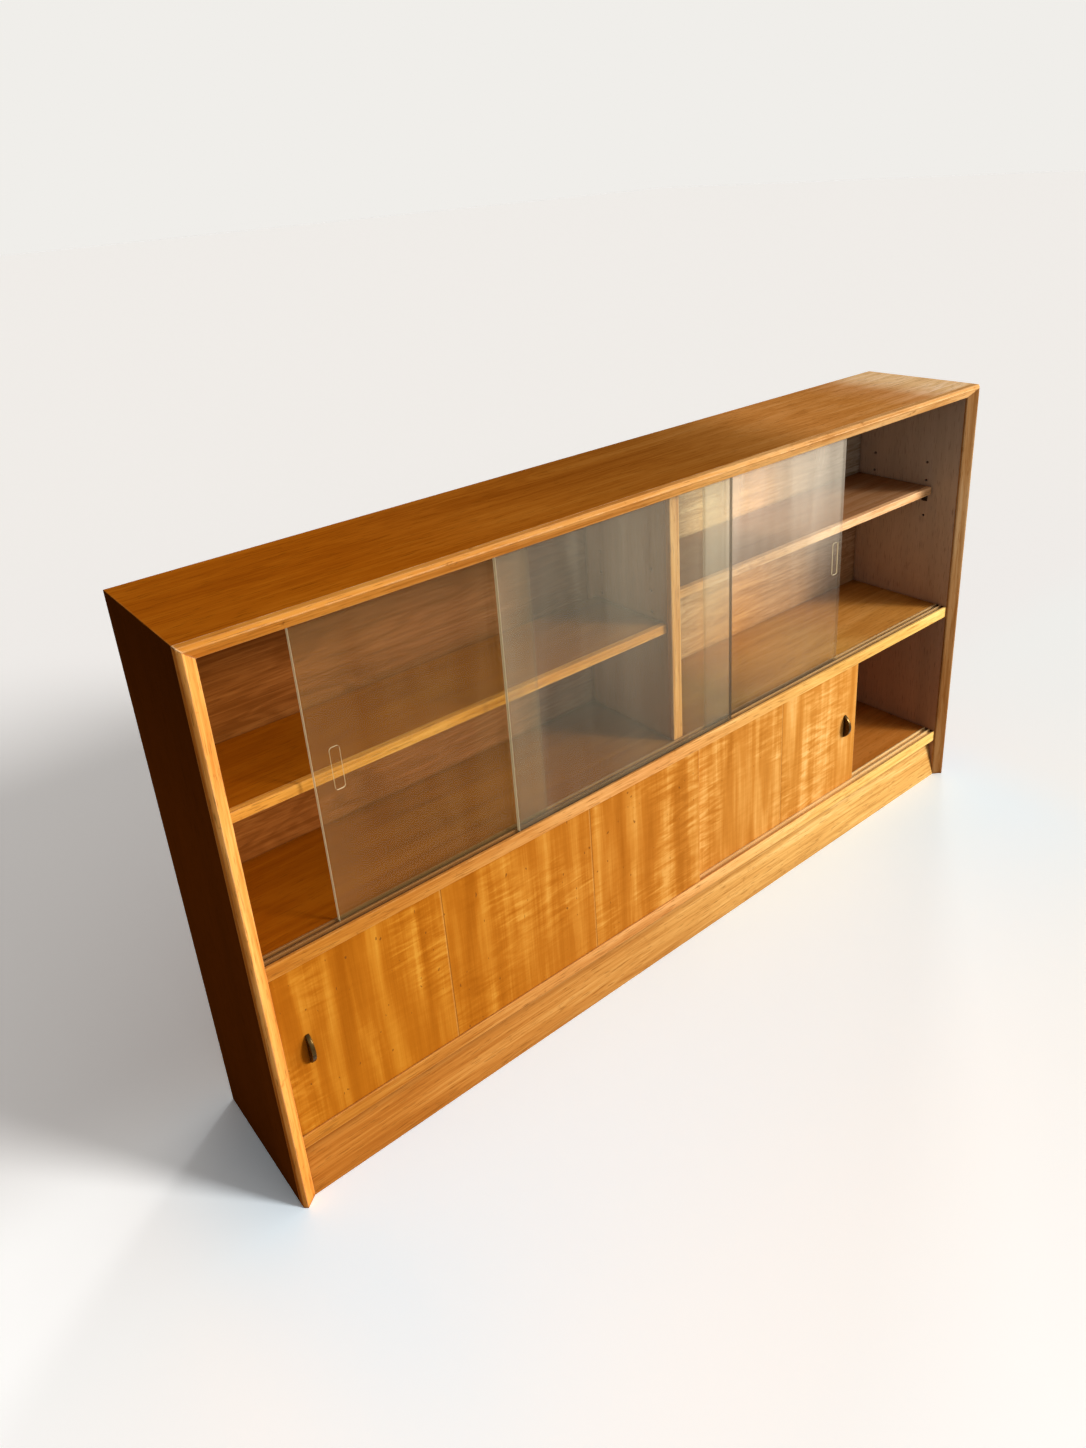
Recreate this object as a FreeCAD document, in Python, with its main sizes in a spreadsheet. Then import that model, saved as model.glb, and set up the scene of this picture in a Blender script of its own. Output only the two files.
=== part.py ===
import FreeCAD, Part
import math
import os
import re
import Sketcher

# A low, wide bookcase. The upper part is glazed with three sliding panes, the lower part is a
# cupboard behind two sliding doors, and the whole stands on its sides and a leaning plinth board.
#
# The frame has its origin on the floor at the middle of the case: +X to the right, +Y to the back,
# +Z up. Most pieces are drawn from the front arris of the case, so their sketches measure how far
# back a face lies.

V = FreeCAD.Vector
doc = FreeCAD.newDocument("SlidingDoorBookcase")

# ---------------------------------------------------------------- the driving dimensions, in mm

SIZES = {
    # the case
    "width": (1524, "overall width, 60 inches"),
    "depth": (241, "overall depth, 9 1/2 inches"),
    "height": (838, "overall height, 33 inches"),
    "panel": (21.5, "thickness of the sides and the top"),
    "lipping": (16, "depth of the solid wood edge on the sides and the top"),
    "chamfer": (4.9, "outer chamfer of that edge, both ways"),
    "bevel_back": (12.7, "how far back its inner bevel ends"),
    "arris": (0.8, "rounding of the wooden edges that a hand meets"),
    "tongue_width": (12, "loose tongue in the mitre, across the joint"),
    "tongue_thick": (4, "loose tongue, thickness"),
    "tongue_inset": (11, "middle of the tongue, along the mitre from the inner corner"),
    "tongue_front": (45, "front end of the tongue"),
    "tongue_back": (230, "back end of the tongue"),
    # the two fixed boards
    "board_front": (16, "front face of both boards"),
    "board_lipping": (10, "depth of the solid edge on boards, shelves and the partition"),
    "middle_top": (392, "top of the middle board"),
    "middle_thick": (21, "thickness of the middle board"),
    "bottom_top": (104, "top of the bottom board"),
    "bottom_thick": (21.5, "thickness of the bottom board"),
    "housing": (6, "depth of the housings in the sides"),
    # the back
    "back_thick": (4, "plywood back"),
    "back_rebate": (4.5, "depth of the rebate for the back"),
    "back_lap": (7.5, "how far the back laps onto the sides and the top"),
    "pin_head": (3.2, "diameter of a panel pin's head"),
    "pin_shank": (1.6, "diameter of a panel pin"),
    "pin_length": (20, "length of a panel pin"),
    "pin_columns": (7, "pins across the back in each full row"),
    # the partitions
    "partition": (20, "thickness of both partitions"),
    "partition_front": (40, "front edge of the upper partition"),
    "lower_partition_front": (42, "front edge of the lower partition"),
    "partition_housing": (5, "depth of the housings for the partitions"),
    # the tracks
    "groove_depth": (4, "depth of a lower groove"),
    "guide_depth": (8, "depth of an upper guide groove, twice the lower one, so that panes lift out"),
    "strip_base": (1.2, "thickness of a track strip under its grooves"),
    "rib": (2.5, "width of a track rib"),
    "rib_rise": (0.8, "how far the ribs stand above the board"),
    "glass_lip": (4.5, "wooden lip in front of the glass track"),
    "glass_groove": (7, "width of a glass groove"),
    "door_lip": (2.5, "wooden lip in front of the door track"),
    "door_groove": (8.5, "width of a door groove"),
    # the glass
    "glass": (6, "thickness of the panes"),
    "pane_height": (431.5, "height of the panes"),
    "outer_pane": (346, "width of the left and right panes"),
    "middle_pane": (449, "width of the middle pane"),
    "left_pane_at": (133.6, "left edge of the left pane"),
    "middle_pane_at": (420, "left edge of the middle pane"),
    "right_pane_at": (818.6, "left edge of the right pane"),
    "glass_arris": (0.5, "ground arris of the glass"),
    "grip_width": (14, "width of a ground finger grip"),
    "grip_height": (60, "height of a ground finger grip"),
    "grip_depth": (1.6, "depth of a ground finger grip"),
    "grip_corner": (4, "corner radius of a finger grip"),
    "left_grip_inset": (32, "middle of the left pane's grip from its left edge"),
    "left_grip_level": (221, "middle of the left pane's grip above its lower edge"),
    "right_grip_inset": (17, "middle of the right pane's grip from its right edge"),
    "right_grip_level": (208, "middle of the right pane's grip above its lower edge"),
    # the doors
    "door": (8, "thickness of the doors"),
    "door_width": (766, "width of a door"),
    "door_height": (274, "height of a door"),
    "door_edge": (1.2, "rounding of the doors' upright edges"),
    "left_door_at": (21.8, "left edge of the left door"),
    "right_door_at": (469, "left edge of the right door"),
    "pull_inset": (35, "middle of a pull from the door's outer edge"),
    "pull_level": (137.5, "middle of a pull above the door's lower edge"),
    "pull_chord": (48, "height of a half-moon pull"),
    "pull_proud": (14.5, "how far a pull stands out of the door"),
    "pull_thick": (6, "thickness of a pull at the door"),
    "pull_rim": (2, "bevel on both sides of its rim"),
    "screw_spacing": (24, "distance between the two screws of a pull"),
    "screw_shank": (3, "diameter of those screws"),
    "screw_head": (6, "diameter of their heads"),
    "screw_length": (14, "length of those screws"),
    "screw_play": (0.1, "clearance round a screw"),
    # the shelves
    "shelf_thick": (15, "thickness of a shelf"),
    "shelf_depth": (166, "depth of a shelf with its edge"),
    "shelf_play": (1, "gap at each end of a shelf"),
    "left_shelf_front": (50, "front of the left shelf, which is pulled forward"),
    "right_shelf_front": (69, "front of the right shelf"),
    "left_shelf_hole": (0, "hole that carries the left shelf, counted from the lowest"),
    "right_shelf_hole": (1, "hole that carries the right shelf"),
    "hole_lowest": (573, "height of the lowest peg hole"),
    "hole_pitch": (36, "distance between peg holes"),
    "hole_count": (4, "peg holes in a column"),
    "hole_front": (83, "front column of peg holes"),
    "hole_back": (200, "back column of peg holes"),
    "hole_size": (5.2, "diameter of a peg hole"),
    "hole_depth": (8.5, "depth of a peg hole"),
    "peg_pin": (5, "diameter of a peg's pin"),
    "peg_pin_length": (8, "length of a peg's pin"),
    "peg_plate": (1.5, "thickness of a peg's bracket"),
    "peg_width": (12, "width of the bracket"),
    "peg_height": (16, "height of the bracket"),
    "peg_leg": (12, "how far the bracket reaches under the shelf"),
    "peg_drop": (10, "pin below the shelf's underside"),
    # the plinth
    "plinth": (18, "thickness of the plinth boards"),
    "plinth_foot": (12, "front face of the plinth at the floor"),
    "plinth_head": (31, "front face of the plinth under the bottom board"),
    "rail_back": (232, "back face of the rear plinth rail"),
    "block_leg": (24, "legs of a glue block"),
    "block_length": (60, "length of a glue block"),
    "block_count": (5, "number of glue blocks"),
}

sheet = doc.addObject("Spreadsheet::Sheet", "Sizes")
for row, (alias, (number, meaning)) in enumerate(SIZES.items(), start=1):
    sheet.set(f"A{row}", meaning)
    sheet.set(f"B{row}", str(number))
    sheet.setAlias(f"B{row}", alias)
doc.recompute()

# Lengths worked out from the driving ones, as spreadsheet expressions.

LEFT = "(0 - width / 2)"
FRONT = "(0 - depth / 2)"
INNER_WIDTH = "(width - 2 * panel)"
TOP_UNDERSIDE = "(height - panel)"
MIDDLE_UNDERSIDE = "(middle_top - middle_thick)"
BOTTOM_UNDERSIDE = "(bottom_top - bottom_thick)"
BACK_FACE = "(depth - back_rebate)"
TRACK_DEPTH = "(groove_depth + strip_base)"
BOARD_LENGTH = "(width - 2 * panel + 2 * housing)"
GLASS_TRACK_FRONT = "(board_front + glass_lip)"
DOOR_TRACK_FRONT = "(board_front + door_lip)"
GLASS_TRACK_WIDTH = "(2 * glass_groove + 2 * rib)"
DOOR_TRACK_WIDTH = "(2 * door_groove + 2 * rib)"
COMPARTMENT = "(width / 2 - panel - partition / 2)"


def in_sheet(expression):
    """The expression with each size's name pointing at its cell in the spreadsheet."""
    return re.sub(r"[a-z_]+", lambda word: f"Sizes.{word[0]}" if word[0] in SIZES else word[0], expression)


def value(expression):
    """What an expression comes to, for places where a feature can't hold one."""
    return float(sheet.evalExpression(expression))


# ---------------------------------------------------------------- how a piece is drawn and cut

def body(label, x, y, z):
    """A new piece, with its own origin at x, y, z of the bookcase."""
    piece = doc.addObject("PartDesign::Body", label)
    piece.Label = label
    for axis, place in zip("xyz", (x, y, z)):
        piece.setExpression(f"Placement.Base.{axis}", in_sheet(place))
    return piece


def origin_feature(piece, role):
    """One of the piece's own base planes or axes, such as XY_Plane or Z_Axis."""
    return next(item for item in piece.Origin.OriginFeatures if item.Role == role)


def empty_sketch(piece, plane, offset):
    """A sketch on a base plane, moved along that plane's normal by offset."""
    sketch = piece.newObject("Sketcher::SketchObject", f"{piece.Name}_sketch")
    sketch.AttachmentSupport = [(origin_feature(piece, plane), "")]
    sketch.MapMode = "FlatFace"
    sketch.setExpression("AttachmentOffset.Base.z", in_sheet(offset))
    return sketch


def dimension(sketch, constraint, expression):
    """Adds one dimension to a sketch and ties it to the spreadsheet."""
    index = sketch.addConstraint(Sketcher.Constraint(*constraint, value(expression)))
    sketch.setExpression(f"Constraints[{index}]", in_sheet(expression))


def add_loop(sketch, corners):
    """Adds a closed loop of straight sides. Each corner is measured from the piece's origin."""
    points = [V(value(x), value(y), 0) for x, y in corners]
    ends = points[1:] + points[:1]
    lines = [sketch.addGeometry(Part.LineSegment(*pair)) for pair in zip(points, ends)]
    for line, following, (x, y) in zip(lines, lines[1:] + lines[:1], corners):
        sketch.addConstraint(Sketcher.Constraint("Coincident", line, 2, following, 1))
        dimension(sketch, ("DistanceX", -1, 1, line, 1), x)
        dimension(sketch, ("DistanceY", -1, 1, line, 1), y)


def outline(piece, plane, corners, offset="0"):
    """A sketch of one loop of straight sides."""
    sketch = empty_sketch(piece, plane, offset)
    add_loop(sketch, corners)
    return sketch


def rectangle(piece, plane, x_range, y_range, offset="0"):
    """A rectangle between two places each way."""
    (left, right), (low, high) = x_range, y_range
    corners = [(left, low), (right, low), (right, high), (left, high)]
    return outline(piece, plane, corners, offset)


def circles(piece, plane, centres, diameter, offset="0"):
    """Circles of one size about the given centres."""
    sketch = empty_sketch(piece, plane, offset)
    for index, (x, y) in enumerate(centres):
        centre = V(value(x), value(y), 0)
        sketch.addGeometry(Part.Circle(centre, V(0, 0, 1), value(diameter) / 2))
        dimension(sketch, ("DistanceX", -1, 1, index, 3), x)
        dimension(sketch, ("DistanceY", -1, 1, index, 3), y)
        dimension(sketch, ("Radius", index), f"{diameter} / 2")
    return sketch


def finish(piece, feature):
    """Makes the feature the piece's current shape and returns it."""
    piece.Tip = feature
    doc.recompute()
    return feature


def pad(piece, sketch, length, side="One side"):
    """Extrudes a sketch along its normal, or half each way with side Symmetric."""
    feature = piece.newObject("PartDesign::Pad", f"{piece.Name}_pad")
    feature.Profile = sketch
    feature.SideType = side
    feature.setExpression("Length", in_sheet(length))
    return finish(piece, feature)


def cut(piece, sketch, length, along_normal=False):
    """Cuts a sketch into the piece, against the sketch's normal or along it."""
    before = piece.Shape.Volume
    feature = piece.newObject("PartDesign::Pocket", f"{piece.Name}_cut")
    feature.Profile = sketch
    feature.Reversed = along_normal
    feature.setExpression("Length", in_sheet(length))
    finish(piece, feature)
    if not piece.Shape.Volume < before:
        raise RuntimeError(f"{piece.Label}: {feature.Name} removes nothing")
    return feature


def work_edges(piece, kind, size, points):
    """Rounds or bevels the edges that pass through the points: kind is Fillet or Chamfer."""
    base = piece.Tip
    names = []
    for point in points:
        spot = Part.Vertex(*(value(place) for place in point))
        distances = [edge.distToShape(spot)[0] for edge in base.Shape.Edges]
        names.append(f"Edge{distances.index(min(distances)) + 1}")
    feature = piece.newObject(f"PartDesign::{kind}", f"{piece.Name}_edges")
    feature.Base = (base, names)
    feature.setExpression("Radius" if kind == "Fillet" else "Size", in_sheet(size))
    return finish(piece, feature)


def mirrored_ends(piece, cuts):
    """Repeats the cuts of the left end at the right end."""
    feature = piece.newObject("PartDesign::Mirrored", f"{piece.Name}_ends")
    feature.Originals = cuts
    feature.MirrorPlane = (origin_feature(piece, "YZ_Plane"), [""])
    return finish(piece, feature)


def mirror_piece(label, source):
    """The right-hand twin of a left-hand piece."""
    twin = doc.addObject("Part::Mirroring", label)
    twin.Label = label
    twin.Source = source
    twin.Normal = V(1, 0, 0)
    doc.recompute()
    return twin


def box_piece(label, place, size):
    """A plain rectangular board: place is its lower left front corner."""
    piece = body(label, *place)
    length, deep, tall = size
    pad(piece, rectangle(piece, "XY_Plane", ("0", length), ("0", deep)), tall)
    return piece


# ---------------------------------------------------------------- the mitred case

# The mitre runs at 45 degrees from the outer top corner of the case to the inner one, and the
# tongue lies across it. SLANT is what a slanting length of 1 covers along X or Z.
SLANT = "sqrt(1 / 2)"
MITRE_STEP = f"tongue_inset * {SLANT}"
TONGUE_LONG = f"(tongue_width + tongue_thick) / 2 * {SLANT}"
TONGUE_SHORT = f"(tongue_width - tongue_thick) / 2 * {SLANT}"


def tongue_corners(corner_x, corner_z):
    """The tongue's section in X and Z, given the inner corner of the left-hand mitre."""
    x = f"{corner_x} - {MITRE_STEP}"
    z = f"{corner_z} + {MITRE_STEP}"
    return [
        (f"{x} + {TONGUE_LONG}", f"{z} + {TONGUE_SHORT}"),
        (f"{x} + {TONGUE_SHORT}", f"{z} + {TONGUE_LONG}"),
        (f"{x} - {TONGUE_LONG}", f"{z} - {TONGUE_SHORT}"),
        (f"{x} - {TONGUE_SHORT}", f"{z} - {TONGUE_LONG}"),
    ]


def tongue_slot(piece, corner_x, corner_z):
    """The slot for the tongue, from its front end back."""
    # the XZ plane's normal points forward, so the sketch lies behind it by a negative offset
    sketch = outline(piece, "XZ_Plane", tongue_corners(corner_x, corner_z), "0 - tongue_front")
    return cut(piece, sketch, "tongue_back - tongue_front")


def edge_section(across_outer, across_inner):
    """The solid edge's section: outer chamfer, front arris, inner bevel, glue face."""
    return [
        ("chamfer", across_outer[0]),
        ("0", across_outer[1]),
        ("bevel_back", across_inner),
        ("lipping", across_inner),
        ("lipping", across_outer[0]),
    ]


def side_panel():
    """The left side. It is housed for the boards and drilled for the shelf pegs."""
    piece = body("left_side_panel", LEFT, FRONT, "0")
    section = [
        ("0", "lipping"),
        ("panel", "lipping"),
        ("panel", BACK_FACE),
        ("panel - back_lap", BACK_FACE),
        ("panel - back_lap", "depth"),
        ("0", "depth"),
    ]
    pad(piece, outline(piece, "XY_Plane", section), "height")
    for top, thick in (("middle_top", "middle_thick"), ("bottom_top", "bottom_thick")):
        heights = (f"{top} - {thick}", top)
        housing = rectangle(piece, "YZ_Plane", ("board_front", BACK_FACE), heights, "panel")
        cut(piece, housing, "housing")
    peg_holes(piece, "panel", "hole_depth", "0", "0")
    mitre = outline(
        piece, "XZ_Plane", [("0", "height"), ("panel", TOP_UNDERSIDE), ("panel", "height")], "0"
    )
    cut(piece, mitre, "depth")
    tongue_slot(piece, "panel", TOP_UNDERSIDE)
    return piece


def peg_holes(piece, face, deep, front_from, level_from):
    """Two columns of peg holes, drilled to the left from the face of an upright board."""
    level = f"hole_lowest - {level_from}"
    centres = [(f"hole_front - {front_from}", level), (f"hole_back - {front_from}", level)]
    lowest = cut(piece, circles(piece, "YZ_Plane", centres, "hole_size", face), deep)
    pattern = piece.newObject("PartDesign::LinearPattern", f"{piece.Name}_holes")
    pattern.Originals = [lowest]
    pattern.Direction = (origin_feature(piece, "Z_Axis"), [""])
    pattern.setExpression("Length", in_sheet("hole_pitch * (hole_count - 1)"))
    pattern.setExpression("Occurrences", in_sheet("hole_count"))
    finish(piece, pattern)


def side_lipping():
    """The solid front edge of the left side, mitred to meet the top's."""
    piece = body("left_side_lipping", LEFT, FRONT, "0")
    section = [(x, y) for y, x in edge_section(("0", "chamfer"), "panel")]
    pad(piece, outline(piece, "XY_Plane", section), "height")
    middle = "height / 2"
    front_edges = [("0", "chamfer", middle), ("chamfer", "0", middle), ("panel", "bevel_back", middle)]
    work_edges(piece, "Fillet", "arris", front_edges)
    mitre = outline(
        piece, "XZ_Plane", [("0", "height"), ("panel", TOP_UNDERSIDE), ("panel", "height")], "0"
    )
    cut(piece, mitre, "lipping")
    return piece


def end_mitre(piece, deep):
    """The mitre at the left end of a piece of the top."""
    corners = [(LEFT, "panel"), (f"{LEFT} + panel", "0"), (LEFT, "0")]
    return cut(piece, outline(piece, "XZ_Plane", corners, "0"), deep)


def top_panel():
    """The top, with guide grooves for the glass in its underside and a rebate for the back."""
    piece = body("top_panel", "0", FRONT, TOP_UNDERSIDE)
    grooves = []
    for index in (0, 1):
        start = f"{GLASS_TRACK_FRONT} + {index} * (glass_groove + rib)"
        end = f"{start} + glass_groove"
        grooves += [(start, "0"), (start, "guide_depth"), (end, "guide_depth"), (end, "0")]
    section = [
        ("lipping", "0"),
        *grooves,
        (BACK_FACE, "0"),
        (BACK_FACE, "back_lap"),
        ("depth", "back_lap"),
        ("depth", "panel"),
        ("lipping", "panel"),
    ]
    pad(piece, outline(piece, "YZ_Plane", section), "width", "Symmetric")
    half = "partition / 2"
    seat = rectangle(piece, "XY_Plane", (f"0 - {half}", half), ("partition_front", BACK_FACE))
    cut(piece, seat, "partition_housing", along_normal=True)
    mitre = end_mitre(piece, "depth")
    slot = tongue_slot(piece, f"{LEFT} + panel", "0")
    mirrored_ends(piece, [mitre, slot])
    return piece


def top_lipping():
    """The solid front edge of the top, mitred at both ends."""
    piece = body("top_lipping", "0", FRONT, TOP_UNDERSIDE)
    section = edge_section(("panel", "panel - chamfer"), "0")
    pad(piece, outline(piece, "YZ_Plane", section), "width", "Symmetric")
    front_edges = [("0", "chamfer", "panel"), ("0", "0", "panel - chamfer"), ("0", "bevel_back", "0")]
    work_edges(piece, "Fillet", "arris", front_edges)
    mirrored_ends(piece, [end_mitre(piece, "lipping")])
    return piece


def mitre_tongue():
    """The loose tongue that holds the left-hand mitre."""
    piece = body("left_mitre_tongue", LEFT, FRONT, "0")
    corners = tongue_corners("panel", TOP_UNDERSIDE)
    sketch = outline(piece, "XZ_Plane", corners, "0 - tongue_back")
    pad(piece, sketch, "tongue_back - tongue_front")
    return piece


# ---------------------------------------------------------------- the fixed boards

def middle_board():
    """The board under the glass: a rebate for the track on top, guides for the doors below."""
    piece = body("middle_board", "0", f"{FRONT} + board_front", MIDDLE_UNDERSIDE)
    first_guide = f"{DOOR_TRACK_FRONT} - board_front"
    second_guide = f"{first_guide} + door_groove + rib"
    track_end = f"{GLASS_TRACK_FRONT} - board_front + {GLASS_TRACK_WIDTH}"
    track_floor = f"middle_thick - {TRACK_DEPTH}"
    section = [
        ("board_lipping", "guide_depth"),
        (f"{first_guide} + door_groove", "guide_depth"),
        (f"{first_guide} + door_groove", "0"),
        (second_guide, "0"),
        (second_guide, "guide_depth"),
        (f"{second_guide} + door_groove", "guide_depth"),
        (f"{second_guide} + door_groove", "0"),
        (f"{BACK_FACE} - board_front", "0"),
        (f"{BACK_FACE} - board_front", "middle_thick"),
        (track_end, "middle_thick"),
        (track_end, track_floor),
        ("board_lipping", track_floor),
    ]
    pad(piece, outline(piece, "YZ_Plane", section), BOARD_LENGTH, "Symmetric")
    half = "partition / 2"
    upper_seat = ("partition_front - board_front", f"{BACK_FACE} - board_front")
    lower_seat = ("lower_partition_front - board_front", f"{BACK_FACE} - board_front")
    cut(piece, rectangle(piece, "XY_Plane", (f"0 - {half}", half), upper_seat, "middle_thick"),
        "partition_housing")
    cut(piece, rectangle(piece, "XY_Plane", (f"0 - {half}", half), lower_seat),
        "partition_housing", along_normal=True)
    return piece


def middle_board_lipping():
    """Its solid edge, which carries the lip of the track and the front wall of the guide."""
    piece = body("middle_board_lipping", "0", f"{FRONT} + board_front", MIDDLE_UNDERSIDE)
    track_floor = f"middle_thick - {TRACK_DEPTH}"
    section = [
        ("0", "0"),
        ("door_lip", "0"),
        ("door_lip", "guide_depth"),
        ("board_lipping", "guide_depth"),
        ("board_lipping", track_floor),
        ("glass_lip", track_floor),
        ("glass_lip", "middle_thick"),
        ("0", "middle_thick"),
    ]
    pad(piece, outline(piece, "YZ_Plane", section), BOARD_LENGTH, "Symmetric")
    work_edges(piece, "Fillet", "arris", [("0", "0", "0"), ("0", "0", "middle_thick")])
    return piece


def bottom_board():
    """The cupboard's floor, with the rebate for the door track."""
    piece = body("bottom_board", "0", f"{FRONT} + board_front", BOTTOM_UNDERSIDE)
    track_end = f"door_lip + {DOOR_TRACK_WIDTH}"
    track_floor = f"bottom_thick - {TRACK_DEPTH}"
    section = [
        ("board_lipping", "0"),
        (f"{BACK_FACE} - board_front", "0"),
        (f"{BACK_FACE} - board_front", "bottom_thick"),
        (track_end, "bottom_thick"),
        (track_end, track_floor),
        ("board_lipping", track_floor),
    ]
    pad(piece, outline(piece, "YZ_Plane", section), BOARD_LENGTH, "Symmetric")
    half = "partition / 2"
    seat = ("lower_partition_front - board_front", f"{BACK_FACE} - board_front")
    cut(piece, rectangle(piece, "XY_Plane", (f"0 - {half}", half), seat, "bottom_thick"),
        "partition_housing")
    return piece


def bottom_board_lipping():
    """Its solid edge, with the lip in front of the track."""
    piece = body("bottom_board_lipping", "0", f"{FRONT} + board_front", BOTTOM_UNDERSIDE)
    track_floor = f"bottom_thick - {TRACK_DEPTH}"
    section = [
        ("0", "0"),
        ("board_lipping", "0"),
        ("board_lipping", track_floor),
        ("door_lip", track_floor),
        ("door_lip", "bottom_thick"),
        ("0", "bottom_thick"),
    ]
    pad(piece, outline(piece, "YZ_Plane", section), BOARD_LENGTH, "Symmetric")
    work_edges(piece, "Fillet", "arris", [("0", "0", "0"), ("0", "0", "bottom_thick")])
    return piece


def track(label, front, board_top, groove):
    """A two-groove strip. The board's wooden lip is the front wall of its first groove."""
    piece = body(label, "0", f"{FRONT} + {front}", f"{board_top} - {TRACK_DEPTH}")
    crest = f"{TRACK_DEPTH} + rib_rise"
    section = [
        ("0", "0"),
        (f"2 * {groove} + 2 * rib", "0"),
        (f"2 * {groove} + 2 * rib", crest),
        (f"2 * {groove} + rib", crest),
        (f"2 * {groove} + rib", "strip_base"),
        (f"{groove} + rib", "strip_base"),
        (f"{groove} + rib", crest),
        (groove, crest),
        (groove, "strip_base"),
        ("0", "strip_base"),
    ]
    pad(piece, outline(piece, "YZ_Plane", section), INNER_WIDTH, "Symmetric")
    return piece


def upper_partition():
    """The upright between the glazed compartments. Its peg holes go right through."""
    bottom = "(middle_top - partition_housing)"
    piece = body("upper_partition", "0", f"{FRONT} + partition_front", bottom)
    half = "partition / 2"
    depths = ("board_lipping", f"{BACK_FACE} - partition_front")
    section = rectangle(piece, "XY_Plane", (f"0 - {half}", half), depths)
    pad(piece, section, f"{TOP_UNDERSIDE} - middle_top + 2 * partition_housing")
    peg_holes(piece, half, "partition", "partition_front", bottom)
    return piece


def upper_partition_lipping():
    """Its solid front edge."""
    bottom = "(middle_top - partition_housing)"
    tall = f"({TOP_UNDERSIDE} - middle_top + 2 * partition_housing)"
    piece = body("upper_partition_lipping", "0", f"{FRONT} + partition_front", bottom)
    half = "partition / 2"
    pad(piece, rectangle(piece, "XY_Plane", (f"0 - {half}", half), ("0", "board_lipping")), tall)
    uprights = [(x, "0", f"{tall} / 2") for x in (f"0 - {half}", half)]
    work_edges(piece, "Fillet", "arris", uprights)
    return piece


def lower_partition():
    """The upright behind the doors."""
    tall = f"{MIDDLE_UNDERSIDE} - bottom_top + 2 * partition_housing"
    place = ("0 - partition / 2", f"{FRONT} + lower_partition_front", "bottom_top - partition_housing")
    return box_piece("lower_partition", place, ("partition", f"{BACK_FACE} - lower_partition_front", tall))


# ---------------------------------------------------------------- the back and its pins

def back_panel():
    """Thin plywood, let into the sides and the top and lapped over both boards' back edges."""
    left = f"{LEFT} + panel - back_lap"
    size = ("width - 2 * (panel - back_lap)", "back_thick",
            f"{TOP_UNDERSIDE} + back_lap - {BOTTOM_UNDERSIDE}")
    return box_piece("back_panel", (left, f"{FRONT} + {BACK_FACE}", BOTTOM_UNDERSIDE), size)


def regular_polygon(x, y, across, sides):
    """Corners of a regular polygon about x, y, measured across its corners."""
    turns = [f"{180 * (2 * index + 1) / sides}deg" for index in range(sides)]
    return [(f"{x} + {across} / 2 * cos({turn})", f"{y} + {across} / 2 * sin({turn})") for turn in turns]


def panel_pins():
    """The pins of the back, with square shanks: a full row in each board, single ones up the uprights."""
    face = f"{BACK_FACE} + back_thick"
    piece = body("back_panel_pins", "0", f"{FRONT} + {face}", "0")
    span = "width - 2 * panel + back_lap"
    rows = ["bottom_top - bottom_thick / 2", "middle_top - middle_thick / 2",
            f"{TOP_UNDERSIDE} + back_lap / 2"]
    singles = [f"(bottom_top + {MIDDLE_UNDERSIDE}) / 2", f"(middle_top + {TOP_UNDERSIDE}) / 2"]
    for levels, count in ((rows, "pin_columns"), (singles, "3")):
        # the XZ plane's normal points forward, into the case
        shanks = empty_sketch(piece, "XZ_Plane", "0")
        heads = empty_sketch(piece, "XZ_Plane", "0 - (back_rebate - back_thick)")
        for level in levels:
            add_loop(shanks, regular_polygon(f"0 - ({span}) / 2", level, "pin_shank", 4))
            add_loop(heads, regular_polygon(f"0 - ({span}) / 2", level, "pin_head", 8))
        shank = pad(piece, shanks, "pin_length")
        head = pad(piece, heads, "back_rebate - back_thick")
        pattern = piece.newObject("PartDesign::LinearPattern", f"{piece.Name}_row")
        pattern.Originals = [shank, head]
        pattern.Direction = (origin_feature(piece, "X_Axis"), [""])
        pattern.setExpression("Length", in_sheet(span))
        pattern.setExpression("Occurrences", in_sheet(count))
        finish(piece, pattern)
    return piece


# ---------------------------------------------------------------- the shelves and their pegs

SHELVES = {
    "left": ("0 - 1", "left_shelf_front", "left_shelf_hole"),
    "right": ("1", "right_shelf_front", "right_shelf_hole"),
}


def shelf_underside(hole):
    """Height of a shelf's underside on the pegs of the given hole."""
    return f"(hole_lowest + {hole} * hole_pitch + peg_drop)"


def compartment_middle(side):
    """X of the middle of the left or right compartment."""
    return f"({side}) * ({COMPARTMENT} + partition) / 2"


def shelf(name, side, front, hole):
    """A loose shelf and its solid front edge."""
    place = (compartment_middle(side), f"{FRONT} + {front}", shelf_underside(hole))
    length = f"{COMPARTMENT} - 2 * shelf_play"
    board = body(f"{name}_shelf", *place)
    pad(board, rectangle(board, "YZ_Plane", ("board_lipping", "shelf_depth"), ("0", "shelf_thick")),
        length, "Symmetric")
    edge = body(f"{name}_shelf_lipping", *place)
    pad(edge, rectangle(edge, "YZ_Plane", ("0", "board_lipping"), ("0", "shelf_thick")),
        length, "Symmetric")
    work_edges(edge, "Fillet", "arris", [("0", "0", "0"), ("0", "0", "shelf_thick")])
    return board, edge


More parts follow.
